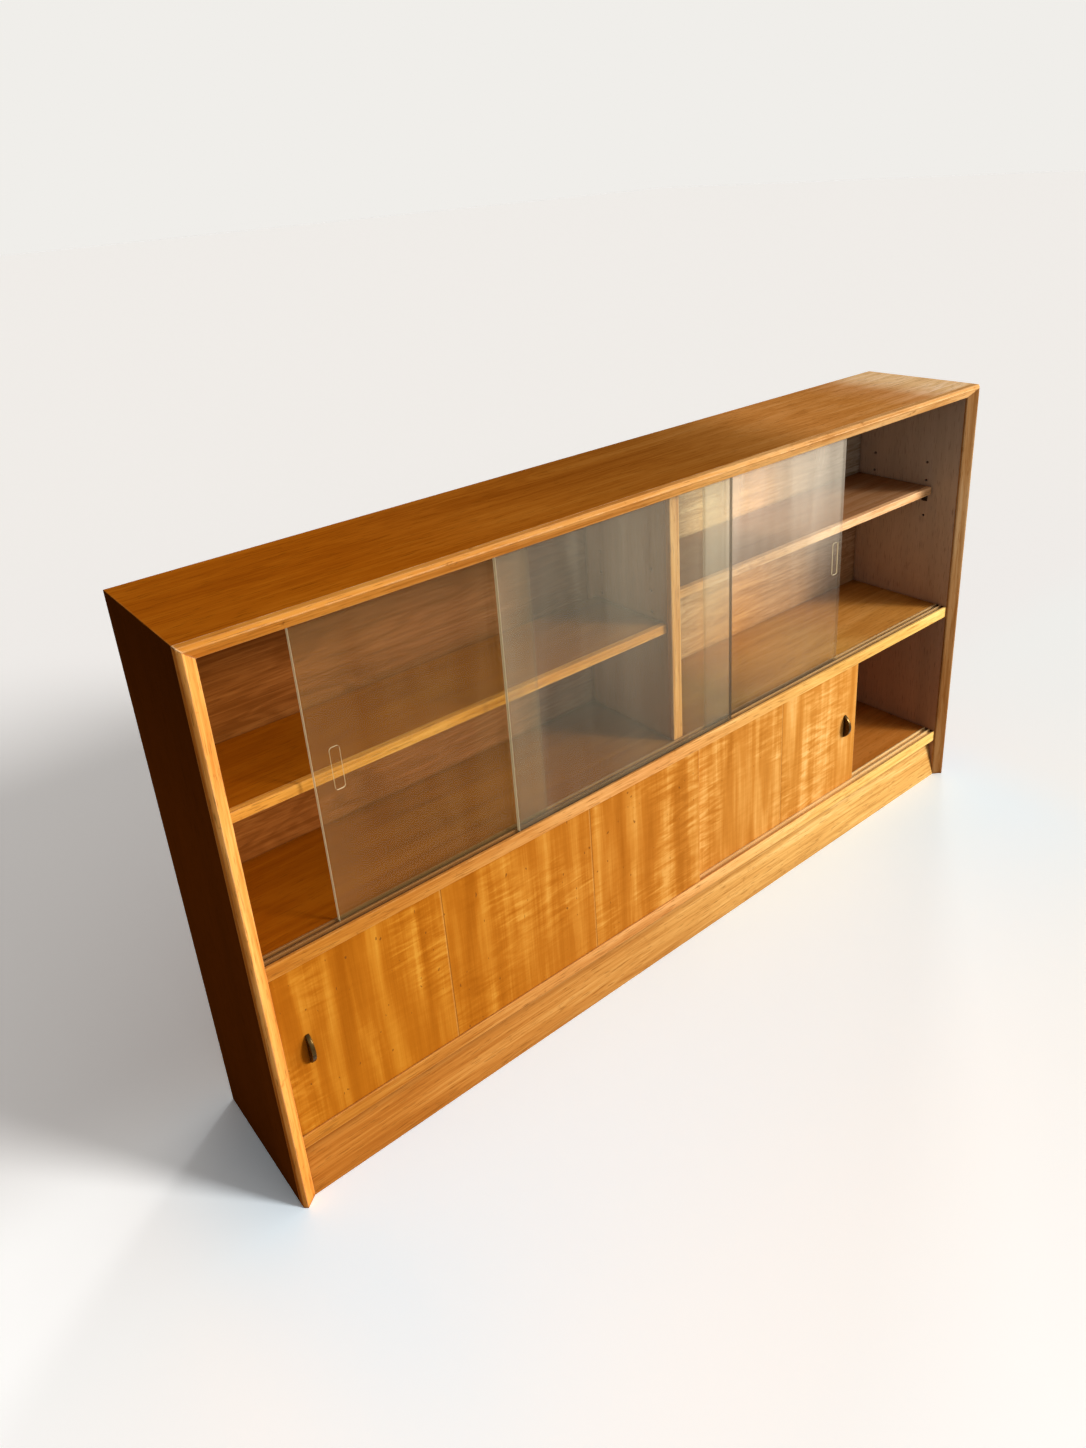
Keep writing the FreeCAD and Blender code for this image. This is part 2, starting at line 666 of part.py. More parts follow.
def shelf_pegs(name, side, hole):
    """Four bracket pegs: a pin in the hole, a plate on the board and a leg under the shelf."""
    place = (compartment_middle(side), f"{FRONT} + hole_front", f"{shelf_underside(hole)} - peg_drop")
    piece = body(f"{name}_shelf_pegs", *place)
    face = f"0 - {COMPARTMENT} / 2"
    half = "peg_width / 2"
    bracket = [
        (face, "peg_drop - peg_height"),
        (f"{face} + peg_plate", "peg_drop - peg_height"),
        (f"{face} + peg_plate", "peg_drop - peg_plate"),
        (f"{face} + peg_leg", "peg_drop - peg_plate"),
        (f"{face} + peg_leg", "peg_drop"),
        (face, "peg_drop"),
    ]
    plate = pad(piece, outline(piece, "XZ_Plane", bracket, f"0 - {half}"), "peg_width")
    pin = pad(piece, circles(piece, "YZ_Plane", [("0", "0")], "peg_pin", f"{face} - peg_pin_length"),
              "peg_pin_length + peg_plate / 2")
    pair = piece.newObject("PartDesign::LinearPattern", f"{piece.Name}_pair")
    pair.Direction = (origin_feature(piece, "Y_Axis"), [""])
    pair.setExpression("Length", in_sheet("hole_back - hole_front"))
    pair.Occurrences = 2
    facing = piece.newObject("PartDesign::Mirrored", f"{piece.Name}_facing")
    facing.MirrorPlane = (origin_feature(piece, "YZ_Plane"), [""])
    four = piece.newObject("PartDesign::MultiTransform", f"{piece.Name}_four")
    four.Originals = [plate, pin]
    four.Transformations = [pair, facing]
    finish(piece, four)
    return piece


# ---------------------------------------------------------------- the plinth

def plinth_slope(level):
    """Y of the plinth's front face at a height above the floor."""
    return f"(plinth_foot + (plinth_head - plinth_foot) * ({level}) / {BOTTOM_UNDERSIDE})"


# How thick the leaning board is along Y.
PLINTH_LEVEL_THICK = (
    f"(plinth * sqrt(1 + ((plinth_head - plinth_foot) / {BOTTOM_UNDERSIDE})"
    f" * ((plinth_head - plinth_foot) / {BOTTOM_UNDERSIDE})))"
)


def plinth_board():
    """The front plinth leans: its foot is nearly flush with the case, its head is set back."""
    piece = body("plinth_board", "0", FRONT, "0")
    section = [
        ("plinth_foot", "0"),
        (f"plinth_foot + {PLINTH_LEVEL_THICK}", "0"),
        (f"plinth_head + {PLINTH_LEVEL_THICK}", BOTTOM_UNDERSIDE),
        ("plinth_head", BOTTOM_UNDERSIDE),
    ]
    pad(piece, outline(piece, "YZ_Plane", section), INNER_WIDTH, "Symmetric")
    return piece


def rear_plinth_rail():
    """The rail that carries the bottom board behind."""
    place = (f"{LEFT} + panel", f"{FRONT} + rail_back - plinth", "0")
    return box_piece("rear_plinth_rail", place, (INNER_WIDTH, "plinth", BOTTOM_UNDERSIDE))


def glue_block(number):
    """A three-cornered block glued behind the plinth and under the bottom board."""
    spacing = f"({INNER_WIDTH} / (block_count + 1))"
    middle = f"({number} - (block_count + 1) / 2) * {spacing}"
    piece = body(f"plinth_glue_block_{number}", middle, FRONT, "0")
    low = f"({BOTTOM_UNDERSIDE} - block_leg)"
    section = [
        (f"{plinth_slope(low)} + {PLINTH_LEVEL_THICK}", low),
        (f"plinth_head + {PLINTH_LEVEL_THICK} + block_leg", BOTTOM_UNDERSIDE),
        (f"plinth_head + {PLINTH_LEVEL_THICK}", BOTTOM_UNDERSIDE),
    ]
    pad(piece, outline(piece, "YZ_Plane", section), "block_length", "Symmetric")
    return piece


# ---------------------------------------------------------------- the sliding glass

def rounded_slot(piece, x, z):
    """Outline of a finger grip about its middle, with round corners."""
    sketch = empty_sketch(piece, "XZ_Plane", "0")
    half_width, half_height, corner = value("grip_width / 2"), value("grip_height / 2"), value("grip_corner")
    middle_x, middle_z = value(x), value(z)
    straight = [("DistanceX", f"{x} - grip_width / 2"), ("DistanceY", f"{z} - grip_height / 2")]
    inner_x, inner_z = half_width - corner, half_height - corner
    sides = [
        ((-inner_x, -half_height), (inner_x, -half_height)),
        ((half_width, -inner_z), (half_width, inner_z)),
        ((inner_x, half_height), (-inner_x, half_height)),
        ((-half_width, inner_z), (-half_width, -inner_z)),
    ]
    centres = [(inner_x, -inner_z), (inner_x, inner_z), (-inner_x, inner_z), (-inner_x, -inner_z)]
    here = V(middle_x, middle_z, 0)
    quarter = math.pi / 2
    for index in range(4):
        start, end = (V(*corner_point, 0) + here for corner_point in sides[index])
        sketch.addGeometry(Part.LineSegment(start, end))
        circle = Part.Circle(V(*centres[index], 0) + here, V(0, 0, 1), corner)
        sketch.addGeometry(Part.ArcOfCircle(circle, (index - 1) * quarter, index * quarter))
    for index in range(4):
        line, arc, following = 2 * index, 2 * index + 1, (2 * index + 2) % 8
        sketch.addConstraint(Sketcher.Constraint("Tangent", line, 2, arc, 1))
        sketch.addConstraint(Sketcher.Constraint("Tangent", arc, 2, following, 1))
        sketch.addConstraint(Sketcher.Constraint("Vertical" if index % 2 else "Horizontal", line))
    for arc in (3, 5, 7):
        sketch.addConstraint(Sketcher.Constraint("Equal", 1, arc))
    dimension(sketch, ("Radius", 1), "grip_corner")
    dimension(sketch, ("DistanceX", 6, 1, 2, 1), "grip_width")
    dimension(sketch, ("DistanceY", 0, 1, 4, 1), "grip_height")
    for (kind, expression), line in zip(straight, (6, 0)):
        dimension(sketch, (kind, -1, 1, line, 1), expression)
    return sketch


def glass_pane(label, at, wide, groove, grip=None):
    """A loose pane that stands in a lower groove and reaches into the guide above."""
    play = "(glass_groove - glass) / 2"
    back = f"{FRONT} + {GLASS_TRACK_FRONT} + {groove} * (glass_groove + rib) + {play}"
    floor = "middle_top - groove_depth"
    piece = box_piece(label, (f"{LEFT} + {at}", back, floor), (wide, "glass", "pane_height"))
    middle = "pane_height / 2"
    upright = [(x, y, middle) for x in ("0", wide) for y in ("0", "glass")]
    work_edges(piece, "Fillet", "glass_arris", upright)
    if grip:
        cut(piece, rounded_slot(piece, *grip), "grip_depth")
    return piece


# ---------------------------------------------------------------- the sliding doors

def screw_section(play):
    """Half of a countersunk screw's section, from its axis outwards and from its head forwards."""
    shank = f"screw_shank / 2 + {play}"
    head = f"screw_head / 2 + {play}"
    neck = "(screw_head - screw_shank) / 2"
    return shank, head, neck


def screw_turning(piece, x, face, level, play):
    """A sketch in the plane of a screw's axis, which runs forward from the face."""
    shank, head, neck = screw_section(play)
    tip = f"{face} - screw_length - {play}"
    corners = [
        (face, level),
        (face, f"{level} + {head}"),
        (f"{face} - {neck}", f"{level} + {shank}"),
        (tip, f"{level} + {shank}"),
        (tip, level),
    ]
    return outline(piece, "YZ_Plane", corners, x)


def turned(piece, kind, sketch):
    """A full turn of a sketch about its last side, which is the axis of a screw."""
    feature = piece.newObject(kind, f"{piece.Name}_turned")
    feature.Profile = sketch
    feature.ReferenceAxis = (sketch, ["Edge5"])
    feature.Angle = 360
    return finish(piece, feature)


SCREW_LEVELS = ("pull_level - screw_spacing / 2", "pull_level + screw_spacing / 2")


def sliding_door(label, place, pull_x):
    """A door of thin board, standing in its groove, with countersunk holes for its pull."""
    piece = box_piece(label, place, ("door_width", "door", "door_height"))
    upright = [(x, y, "door_height / 2") for x in ("0", "door_width") for y in ("0", "door")]
    work_edges(piece, "Fillet", "door_edge", upright)
    for level in SCREW_LEVELS:
        turned(piece, "PartDesign::Groove", screw_turning(piece, pull_x, "door", level, "screw_play"))
    return piece


def half_moon_pull(label, place, pull_x):
    """A segment of a round plate, upright on the door, with a bevelled rim."""
    piece = body(label, *place)
    radius = "((pull_chord * pull_chord / 4 + pull_proud * pull_proud) / (2 * pull_proud))"
    low, high = (value(f"pull_level {sign} pull_chord / 2") for sign in "-+")
    sketch = empty_sketch(piece, "YZ_Plane", pull_x)
    middle = value("pull_level")
    crown = V(-value("pull_proud"), middle, 0)
    sketch.addGeometry(Part.LineSegment(V(0, low, 0), V(0, high, 0)))
    sketch.addGeometry(Part.Arc(V(0, high, 0), crown, V(0, low, 0)))
    sketch.addConstraint(Sketcher.Constraint("Coincident", 0, 2, 1, 1))
    sketch.addConstraint(Sketcher.Constraint("Coincident", 1, 2, 0, 1))
    sketch.addConstraint(Sketcher.Constraint("PointOnObject", 0, 1, -2))
    sketch.addConstraint(Sketcher.Constraint("Vertical", 0))
    dimension(sketch, ("DistanceY", -1, 1, 0, 1), "pull_level - pull_chord / 2")
    dimension(sketch, ("DistanceY", 0, 1, 0, 2), "pull_chord")
    dimension(sketch, ("Radius", 1), radius)
    pad(piece, sketch, "pull_thick", "Symmetric")
    half = "pull_thick / 2"
    rim = [(f"{pull_x} {sign} {half}", "0 - pull_proud", "pull_level") for sign in "-+"]
    work_edges(piece, "Chamfer", "pull_rim", rim)
    for level in SCREW_LEVELS:
        turned(piece, "PartDesign::Groove", screw_turning(piece, pull_x, "door", level, "screw_play"))
    return piece


def pull_screws(label, place, pull_x):
    """The two screws of a pull, driven from the back of the door."""
    piece = body(label, *place)
    for level in SCREW_LEVELS:
        turned(piece, "PartDesign::Revolution", screw_turning(piece, pull_x, "door", level, "0"))
    return piece


def door_with_pull(name, at, groove, pull_x):
    """A door, its pull and the screws between them: they slide as one."""
    play = "(door_groove - door) / 2"
    back = f"{FRONT} + {DOOR_TRACK_FRONT} + {groove} * (door_groove + rib) + {play}"
    place = (f"{LEFT} + {at}", back, "bottom_top - groove_depth")
    return [
        sliding_door(f"{name}_door", place, pull_x),
        half_moon_pull(f"{name}_door_pull", place, pull_x),
        pull_screws(f"{name}_door_pull_screws", place, pull_x),
    ]


# ---------------------------------------------------------------- the bookcase

left_side = side_panel()
left_edge = side_lipping()
left_tongue = mitre_tongue()
pieces = [
    left_side,
    mirror_piece("right_side_panel", left_side),
    left_edge,
    mirror_piece("right_side_lipping", left_edge),
    left_tongue,
    mirror_piece("right_mitre_tongue", left_tongue),
    top_panel(),
    top_lipping(),
    middle_board(),
    middle_board_lipping(),
    bottom_board(),
    bottom_board_lipping(),
    track("glass_track", GLASS_TRACK_FRONT, "middle_top", "glass_groove"),
    track("door_track", DOOR_TRACK_FRONT, "bottom_top", "door_groove"),
    upper_partition(),
    upper_partition_lipping(),
    lower_partition(),
    back_panel(),
    panel_pins(),
    plinth_board(),
    rear_plinth_rail(),
]
pieces += [glue_block(number) for number in range(1, round(value("block_count")) + 1)]
for name, (side, front, hole) in SHELVES.items():
    pieces += shelf(name, side, front, hole)
    pieces.append(shelf_pegs(name, side, hole))

left_grip = ("left_grip_inset", "left_grip_level")
right_grip = ("outer_pane - right_grip_inset", "right_grip_level")
pieces += [
    glass_pane("left_glass_pane", "left_pane_at", "outer_pane", "1", left_grip),
    glass_pane("middle_glass_pane", "middle_pane_at", "middle_pane", "0"),
    glass_pane("right_glass_pane", "right_pane_at", "outer_pane", "1", right_grip),
]
pieces += door_with_pull("left", "left_door_at", "0", "pull_inset")
pieces += door_with_pull("right", "right_door_at", "1", "door_width - pull_inset")

doc.recompute()
for item in doc.Objects:
    if "Invalid" in item.State or "Error" in item.State:
        raise RuntimeError(f"{item.Label} failed: {item.State}")
for piece in pieces:
    if piece.Shape.isNull() or not piece.Shape.isValid():
        raise RuntimeError(f"{piece.Label} has no valid shape")

os.makedirs("parts", exist_ok=True)
for piece in pieces:
    piece.Shape.exportStep(f"parts/{piece.Label}.step")
    print(f"{piece.Label}: {len(piece.Shape.Solids)} solids, {piece.Shape.Volume / 1000:.1f} cm3")
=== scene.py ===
# %% [markdown]
# # A low bookcase with sliding glass and sliding doors
# The case stands on a plinth. Above are shelves behind three loose glass panes, below are two
# veneered doors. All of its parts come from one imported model, in metres and already in place,
# so this lesson is about the finishes: wood, glass, brass and steel, made with shader nodes,
# and about the small fittings that need rounder shapes than a CAD part has.

# %% Load the parts
import math

import bmesh
import bpy
from mathutils import Matrix, Vector


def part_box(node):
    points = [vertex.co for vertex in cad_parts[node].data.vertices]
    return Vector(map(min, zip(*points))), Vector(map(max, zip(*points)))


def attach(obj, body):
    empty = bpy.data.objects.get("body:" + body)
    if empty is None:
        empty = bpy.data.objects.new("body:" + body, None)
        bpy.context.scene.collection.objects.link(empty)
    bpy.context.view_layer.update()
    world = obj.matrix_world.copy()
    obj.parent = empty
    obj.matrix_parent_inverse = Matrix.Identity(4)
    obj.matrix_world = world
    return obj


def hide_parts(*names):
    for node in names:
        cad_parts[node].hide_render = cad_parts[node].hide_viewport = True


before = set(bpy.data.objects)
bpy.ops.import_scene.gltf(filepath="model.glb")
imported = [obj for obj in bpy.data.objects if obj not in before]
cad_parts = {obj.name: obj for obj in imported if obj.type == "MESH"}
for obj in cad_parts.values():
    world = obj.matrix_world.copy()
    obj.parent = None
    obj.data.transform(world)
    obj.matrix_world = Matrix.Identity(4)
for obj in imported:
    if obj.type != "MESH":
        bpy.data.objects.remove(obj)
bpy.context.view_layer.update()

# %% [markdown]
# ## Camera
# A person holds the camera a little above the case and in front of its left end, looking down
# along the front. A wide lens close by makes the left end tall and the right end small.
# The place and the turn were worked out once from the corners of the case. A turn is easiest
# to read as three steps: lean to one side, look down, then turn towards the right end.

# %% Camera
camera_data = bpy.data.cameras.new("camera")
camera_data.sensor_fit = "VERTICAL"
camera_data.sensor_height = 36
camera_data.lens = 25.54
camera_data.shift_x = 0.0045
camera_data.shift_y = -0.0838
camera = bpy.data.objects.new("camera", camera_data)
bpy.context.scene.collection.objects.link(camera)
bpy.context.scene.camera = camera

stand = Matrix.Translation((-1.03906, -1.11143, 1.27084))
turn_right = Matrix.Rotation(math.radians(-36.8188), 4, "Z")
look_down = Matrix.Rotation(math.radians(90 - 23.1457), 4, "X")
lean = Matrix.Rotation(math.radians(-4.376), 4, "Z")
camera.matrix_world = stand @ turn_right @ look_down @ lean
print("lens", camera_data.lens, "mm at", [round(c, 3) for c in camera.location])

# %% [markdown]
# ## Helpers for shader nodes
# A material is a small graph of nodes. Building one by hand takes three lines for each node, so
# one helper adds a node, sets its plain values and links its inputs. The others are the steps
# that every finish here repeats: a place to read the pattern at, a noise, a change of range.

# %% Node helpers
def new_finish(name):
    """An empty material and its node tree."""
    finish = bpy.data.materials.new(name)
    finish.use_nodes = True
    finish.node_tree.nodes.clear()
    return finish, finish.node_tree


def with_surface(finish, shader):
    """Links a shader to a new output node."""
    tree = finish.node_tree
    out = tree.nodes.new("ShaderNodeOutputMaterial")
    tree.links.new(shader.outputs[0], out.inputs["Surface"])
    return finish


def node(tree, kind, inputs=None, **settings):
    """Adds a node. An input that is given a socket is linked, any other is set."""
    made = tree.nodes.new(kind)
    for name, value in settings.items():
        setattr(made, name, value)
    for name, value in (inputs or {}).items():
        if isinstance(value, bpy.types.NodeSocket):
            tree.links.new(value, made.inputs[name])
        else:
            made.inputs[name].default_value = value
    return made


# %% Places
def place_at(tree, scale=(1, 1, 1), shift=(0, 0, 0)):
    """Object coordinates in metres, scaled and shifted."""
    place = node(tree, "ShaderNodeTexCoord").outputs["Object"]
    moved = node(tree, "ShaderNodeMapping", {"Vector": place, "Scale": scale, "Location": shift})
    return moved.outputs["Vector"]


def where(tree):
    """X, Y and Z in the case, in metres."""
    place = node(tree, "ShaderNodeTexCoord").outputs["Object"]
    return node(tree, "ShaderNodeSeparateXYZ", {"Vector": place}).outputs


# %% Numbers and colours
def noise(tree, place, scale, detail=2.0, rough=0.5, warp=0.0):
    """Clouds from 0 to 1. A larger scale makes smaller clouds."""
    made = node(tree, "ShaderNodeTexNoise", {
        "Vector": place, "Scale": scale, "Detail": detail, "Roughness": rough, "Distortion": warp,
    })
    return made.outputs["Fac"]


def spread(tree, value, low, high, new_low=0.0, new_high=1.0):
    """Carries low..high over to new_low..new_high in a smooth step and cuts off the rest."""
    made = node(tree, "ShaderNodeMapRange", {
        "Value": value, "From Min": low, "From Max": high, "To Min": new_low, "To Max": new_high,
    }, interpolation_type="SMOOTHSTEP")
    return made.outputs["Result"]


def maths(tree, operation, first, second=0.0, third=0.5):
    made = node(tree, "ShaderNodeMath", {0: first, 1: second, 2: third}, operation=operation)
    return made.outputs[0]


def times(tree, first, second):
    return maths(tree, "MULTIPLY", first, second)


def with_pattern(tree, tone, pattern, share, middle=0.5):
    """Adds a pattern to a tone: how far it lies from its middle, times a share."""
    return maths(tree, "MULTIPLY_ADD", maths(tree, "SUBTRACT", pattern, middle), share, tone)


def blend(tree, factor, first, second, how="MIX"):
    """Mixes two colours, each a socket or three numbers."""
    inputs = {"Factor": factor}
    for number, colour in ((6, first), (7, second)):
        inputs[number] = colour if isinstance(colour, bpy.types.NodeSocket) else (*colour, 1)
    made = node(tree, "ShaderNodeMix", inputs, data_type="RGBA", blend_type=how)
    return made.outputs[2]


def tones(tree, factor, *stops):
    """A colour ramp. Each stop is a position and a linear colour."""
    made = node(tree, "ShaderNodeValToRGB", {"Fac": factor})
    ramp = made.color_ramp
    while len(ramp.elements) < len(stops):
        ramp.elements.new(0.5)
    for element, (position, colour) in zip(ramp.elements, stops):
        element.position = position
        element.color = (*colour, 1)
    return made.outputs["Color"]


def relief(tree, height, strength, depth, **more):
    """The surface's direction, bumped by marks of a depth in metres."""
    inputs = {"Height": height, "Strength": strength, "Distance": depth, **more}
    return node(tree, "ShaderNodeBump", inputs).outputs["Normal"]


def seen_directly(tree):
    """1 for what the camera sees, also through glass and in gloss, 0 for bounced light."""
    path = node(tree, "ShaderNodeLightPath")
    seen = maths(tree, "MAXIMUM", path.outputs["Is Camera Ray"], path.outputs["Is Glossy Ray"])
    return maths(tree, "MAXIMUM", seen, path.outputs["Is Transmission Ray"])


print("node helpers ready")

# %% [markdown]
# ## Studio floor
# The case stands on a large pale floor that runs out to a horizon. It is palest at the left, so
# that the soft shadow there stays light. Just in front of the case the golden wood throws a warm
# glow, which a cooler white takes back. For bounced light the floor is darker than it looks, so
# the inside of the case stays deep: the Light Path node tells the two kinds of rays apart.

# %% Floor
FLOOR_LEFT = (1.50, 1.51, 1.52)
FLOOR_RIGHT = (1.22, 1.25, 1.25)
FLOOR_BEHIND = (1.23, 1.22, 1.22)
FLOOR_FAR = (1.24, 1.23, 1.22)
FLOOR_FRONT_LEFT = (1.16, 1.41, 1.60)
FLOOR_FRONT_RIGHT = (1.09, 1.26, 1.38)
FLOOR_BOUNCE = (0.34, 0.30, 0.25)
HORIZON = 30.0


def floor_colour(tree):
    """The floor's zones: left, right, behind, the strip in front and far away."""
    place = where(tree)
    across = spread(tree, place["X"], -1.0, 0.8)
    shown = blend(tree, across, FLOOR_LEFT, FLOOR_RIGHT)
    shown = blend(tree, spread(tree, place["Y"], 0.05, 0.3), shown, FLOOR_BEHIND)
    strip = times(tree, spread(tree, place["Y"], -0.7, -0.1),
                  spread(tree, place["Y"], 0.0, 0.2, 1.0, 0.0))
    strip = times(tree, strip,
                  spread(tree, maths(tree, "ABSOLUTE", place["X"]), 0.70, 0.95, 1.0, 0.0))
    shown = blend(tree, strip, shown, blend(tree, across, FLOOR_FRONT_LEFT, FLOOR_FRONT_RIGHT))
    away = node(tree, "ShaderNodeVectorMath", {0: place_at(tree)}, operation="LENGTH")
    return blend(tree, spread(tree, away.outputs["Value"], 1.5, 4.0), shown, FLOOR_FAR)


def studio_floor():
    mesh = bpy.data.meshes.new("studio_floor")
    corners = [(HORIZON * x, HORIZON * y, 0) for x, y in ((-1, -1), (1, -1), (1, 1), (-1, 1))]
    mesh.from_pydata(corners, [], [(0, 1, 2, 3)])
    floor = bpy.data.objects.new("studio_floor", mesh)
    bpy.context.scene.collection.objects.link(floor)
    finish, tree = new_finish("pale_floor")
    colour = blend(tree, seen_directly(tree), FLOOR_BOUNCE, floor_colour(tree))
    surface = node(tree, "ShaderNodeBsdfDiffuse", {"Color": colour})
    mesh.materials.append(with_surface(finish, surface))
    return floor


floor = studio_floor()
print("floor of", 2 * HORIZON, "m")

# %% [markdown]
# ## World
# The world behind has the colour that the lit floor shows far away, so hardly a line is seen
# where they meet. The light that it sends is weaker: almost none from the rear left, more from
# the front right, as in a room with one window.

# %% World
BACKDROP = (0.871, 0.855, 0.823)
WINDOW_SIDE = (0.70, -0.64, 0.32)
AMBIENT_DARK = (0.06, 0.045, 0.035)
AMBIENT_BRIGHT = (0.62, 0.61, 0.59)


def studio_world():
    world = bpy.data.worlds.new("studio_world")
    bpy.context.scene.world = world
    world.use_nodes = True
    tree = world.node_tree
    tree.nodes.clear()
    out = tree.nodes.new("ShaderNodeOutputWorld")
    direction = node(tree, "ShaderNodeTexCoord").outputs["Generated"]
    to_window = node(tree, "ShaderNodeVectorMath", {
        0: direction, 1: WINDOW_SIDE,
    }, operation="DOT_PRODUCT").outputs["Value"]
    ambient = blend(tree, spread(tree, to_window, -0.5, 0.9), AMBIENT_DARK, AMBIENT_BRIGHT)
    colour = blend(tree, seen_directly(tree), ambient, BACKDROP)
    back = node(tree, "ShaderNodeBackground", {"Color": colour, "Strength": 1.0})
    tree.links.new(back.outputs[0], out.inputs["Surface"])


studio_world()
bpy.context.scene.view_settings.view_transform = "Standard"
print("world made")

# %% [markdown]
# ## Lamps
# One wide sun from the front right gives the golden front and the soft shadow on the left. A
# second, low and weak, grazes the top from behind on the right. It has no highlight of its own.
# A lamp like a tall window stands before the right end, so the case gets darker to the left.
# Light linking leaves the floor out of it, because the floor is white already.

# %% Suns
def sun(name, towards, strength, colour, width):
    """A sun whose light comes from the direction `towards`, with soft shadows."""
    data = bpy.data.lights.new(name, "SUN")
    data.energy = strength
    data.color = colour
    data.angle = math.radians(width)
    lamp = bpy.data.objects.new(name, data)
    lamp.rotation_euler = Vector(towards).to_track_quat("Z", "Y").to_euler()
    bpy.context.scene.collection.objects.link(lamp)
    return lamp


key_sun = sun("key_sun", (0.548, -0.731, 0.407), strength=2.3, colour=(1.0, 0.985, 0.96), width=12)
low_sun = sun("low_sun", (0.83, 0.52, 0.20), strength=0.8, colour=(1.0, 0.98, 0.96), width=10)
low_sun.visible_glossy = False
print("suns at", round(key_sun.data.energy, 2), "and", round(low_sun.data.energy, 2))


# %% Window lamp
def window_lamp(place, aim, power, width, height):
    """A tall soft lamp that shines from one place towards another, but not on the floor."""
    data = bpy.data.lights.new("window_lamp", "AREA")
    data.shape = "RECTANGLE"
    data.size = width
    data.size_y = height
    data.energy = power
    data.color = (1.0, 0.97, 0.92)
    lamp = bpy.data.objects.new("window_lamp", data)
    lamp.location = place
    lamp.rotation_euler = (Vector(place) - Vector(aim)).to_track_quat("Z", "Y").to_euler()
    bpy.context.scene.collection.objects.link(lamp)
    left_out = bpy.data.collections.new("not_lit_by_window_lamp")
    left_out.objects.link(floor)
    lamp.light_linking.receiver_collection = left_out
    left_out.collection_objects[0].light_linking.link_state = "EXCLUDE"
    print(data.name, "of", power, "W")


window_lamp((1.75, -1.45, 1.0), aim=(0.55, 0.0, 0.45), power=34.0, width=1.0, height=1.3)

# %% [markdown]
# ## Wood
# Wood has a direction. Every mark in it, from a broad band of colour to a pore as fine as a
# hair, is drawn out along the grain, so each noise here is read at a place that is squeezed
# along the grain. Five layers make the look: a broad figure, contour lines drawn through that
# figure, narrower bands, fine fibre streaks and short dark pores. Handling wears the edges
# lighter: the bevel node finds them, because it rounds the surface's direction only near an
# edge.

# %% Grain and edges
X, Z = 0, 2


def along_grain(tree, axis, drawn_out, seed):
    """Object coordinates drawn out along the grain, which runs along X or Z."""
    scale = [1.0, 1.0, 1.0]
    scale[axis] = 1.0 / drawn_out
    return place_at(tree, scale=scale, shift=(seed, seed * 0.7, seed * 0.3))


def near_edge(tree, radius):
    """0 on a flat face, rising to 1 at an edge."""
    rounded = node(tree, "ShaderNodeBevel", {"Radius": radius}, samples=4).outputs["Normal"]
    flat = node(tree, "ShaderNodeNewGeometry").outputs["Normal"]
    same = node(tree, "ShaderNodeVectorMath", {0: rounded, 1: flat}, operation="DOT_PRODUCT")
    return spread(tree, same.outputs["Value"], 0.99, 0.80, 0.0, 1.0)


def darker_corners(tree, colour, reach, depth):
    """Painted shade, with some dirt, where two parts meet, found by ambient occlusion."""
    corner = node(tree, "ShaderNodeAmbientOcclusion", {"Distance": reach}, samples=4)
    occlusion_shade = spread(tree, corner.outputs["AO"], 0.30, 0.85, depth, 0.0)
    return blend(tree, occlusion_shade, colour, (0.22, 0.14, 0.10), "MULTIPLY")


print("grain helpers ready")

# %% [markdown]
# ## Painted light and shade
# The window by the right end of the case is painted into its colours, as well as lit by a lamp.
# So a finish isn't one colour: its painted light shifts from dark and golden at the left to
# pale at the right. Each helper multiplies a colour by a tint where it applies. It reads Object
# coordinates, so a tint stays on its piece, also when a door slides.

# %% Tints
TINT_END = 0.77
OUTER_FACE = 0.7618
INNER_FACE = 0.745


def eased(share):
    """The smooth step that `spread` follows."""
    return share * share * (3 - 2 * share)


def painted_light_along(tree, colour, *stops, back=1.0):
    """Painted light along the case. Each stop is an X and the tint there.
    Nothing that lies further to the rear than `back` is changed."""
    place = where(tree)
    tint = tones(tree, spread(tree, place["X"], -TINT_END, TINT_END),
                 *[(eased((x + TINT_END) / (2 * TINT_END)), stop) for x, stop in stops])
    return blend(tree, maths(tree, "LESS_THAN", place["Y"], back), colour, tint, "MULTIPLY")


def painted_shade_at(tree, colour, height, clear, tint):
    """Painted shade at one height, which fades out at another."""
    share = node(tree, "ShaderNodeMapRange", {
        "Value": where(tree)["Z"], "From Min": clear, "From Max": height,
    }).outputs["Result"]
    return blend(tree, share, colour, tint, "MULTIPLY")


def painted_light_inside(tree, colour, low_tint, high_tint):
    """Painted light, low and high, on the faces that look into the case."""
    place = where(tree)
    inside = maths(tree, "LESS_THAN", maths(tree, "ABSOLUTE", place["X"]), INNER_FACE)
    tint = blend(tree, spread(tree, place["Z"], 0.15, 0.80), low_tint, high_tint)
    return blend(tree, inside, colour, tint, "MULTIPLY")


def shaded_flank(tree, colour, tint):
    """Painted shade on the outer left and right faces of the case."""
    outside = maths(tree, "GREATER_THAN", maths(tree, "ABSOLUTE", where(tree)["X"]), OUTER_FACE)
    return blend(tree, outside, colour, tint, "MULTIPLY")


def painted_light_and_shade(tree, colour, painted_light, painted_light_high, back, flank_shade, inside_light, height_shade):
    """All the painted light and shade that a finish asks for."""
    if painted_light_high:
        colour = blend(tree, spread(tree, where(tree)["Z"], 0.40, 0.74),
                       painted_light_along(tree, colour, *painted_light, back=back),
                       painted_light_along(tree, colour, *painted_light_high, back=back))
    elif painted_light:
        colour = painted_light_along(tree, colour, *painted_light, back=back)
    if flank_shade:
        colour = shaded_flank(tree, colour, flank_shade)
    if inside_light:
        colour = painted_light_inside(tree, colour, *inside_light)
    if height_shade:
        colour = painted_shade_at(tree, colour, *height_shade)
    return colour


print("tints run from X", -TINT_END, "to", TINT_END)

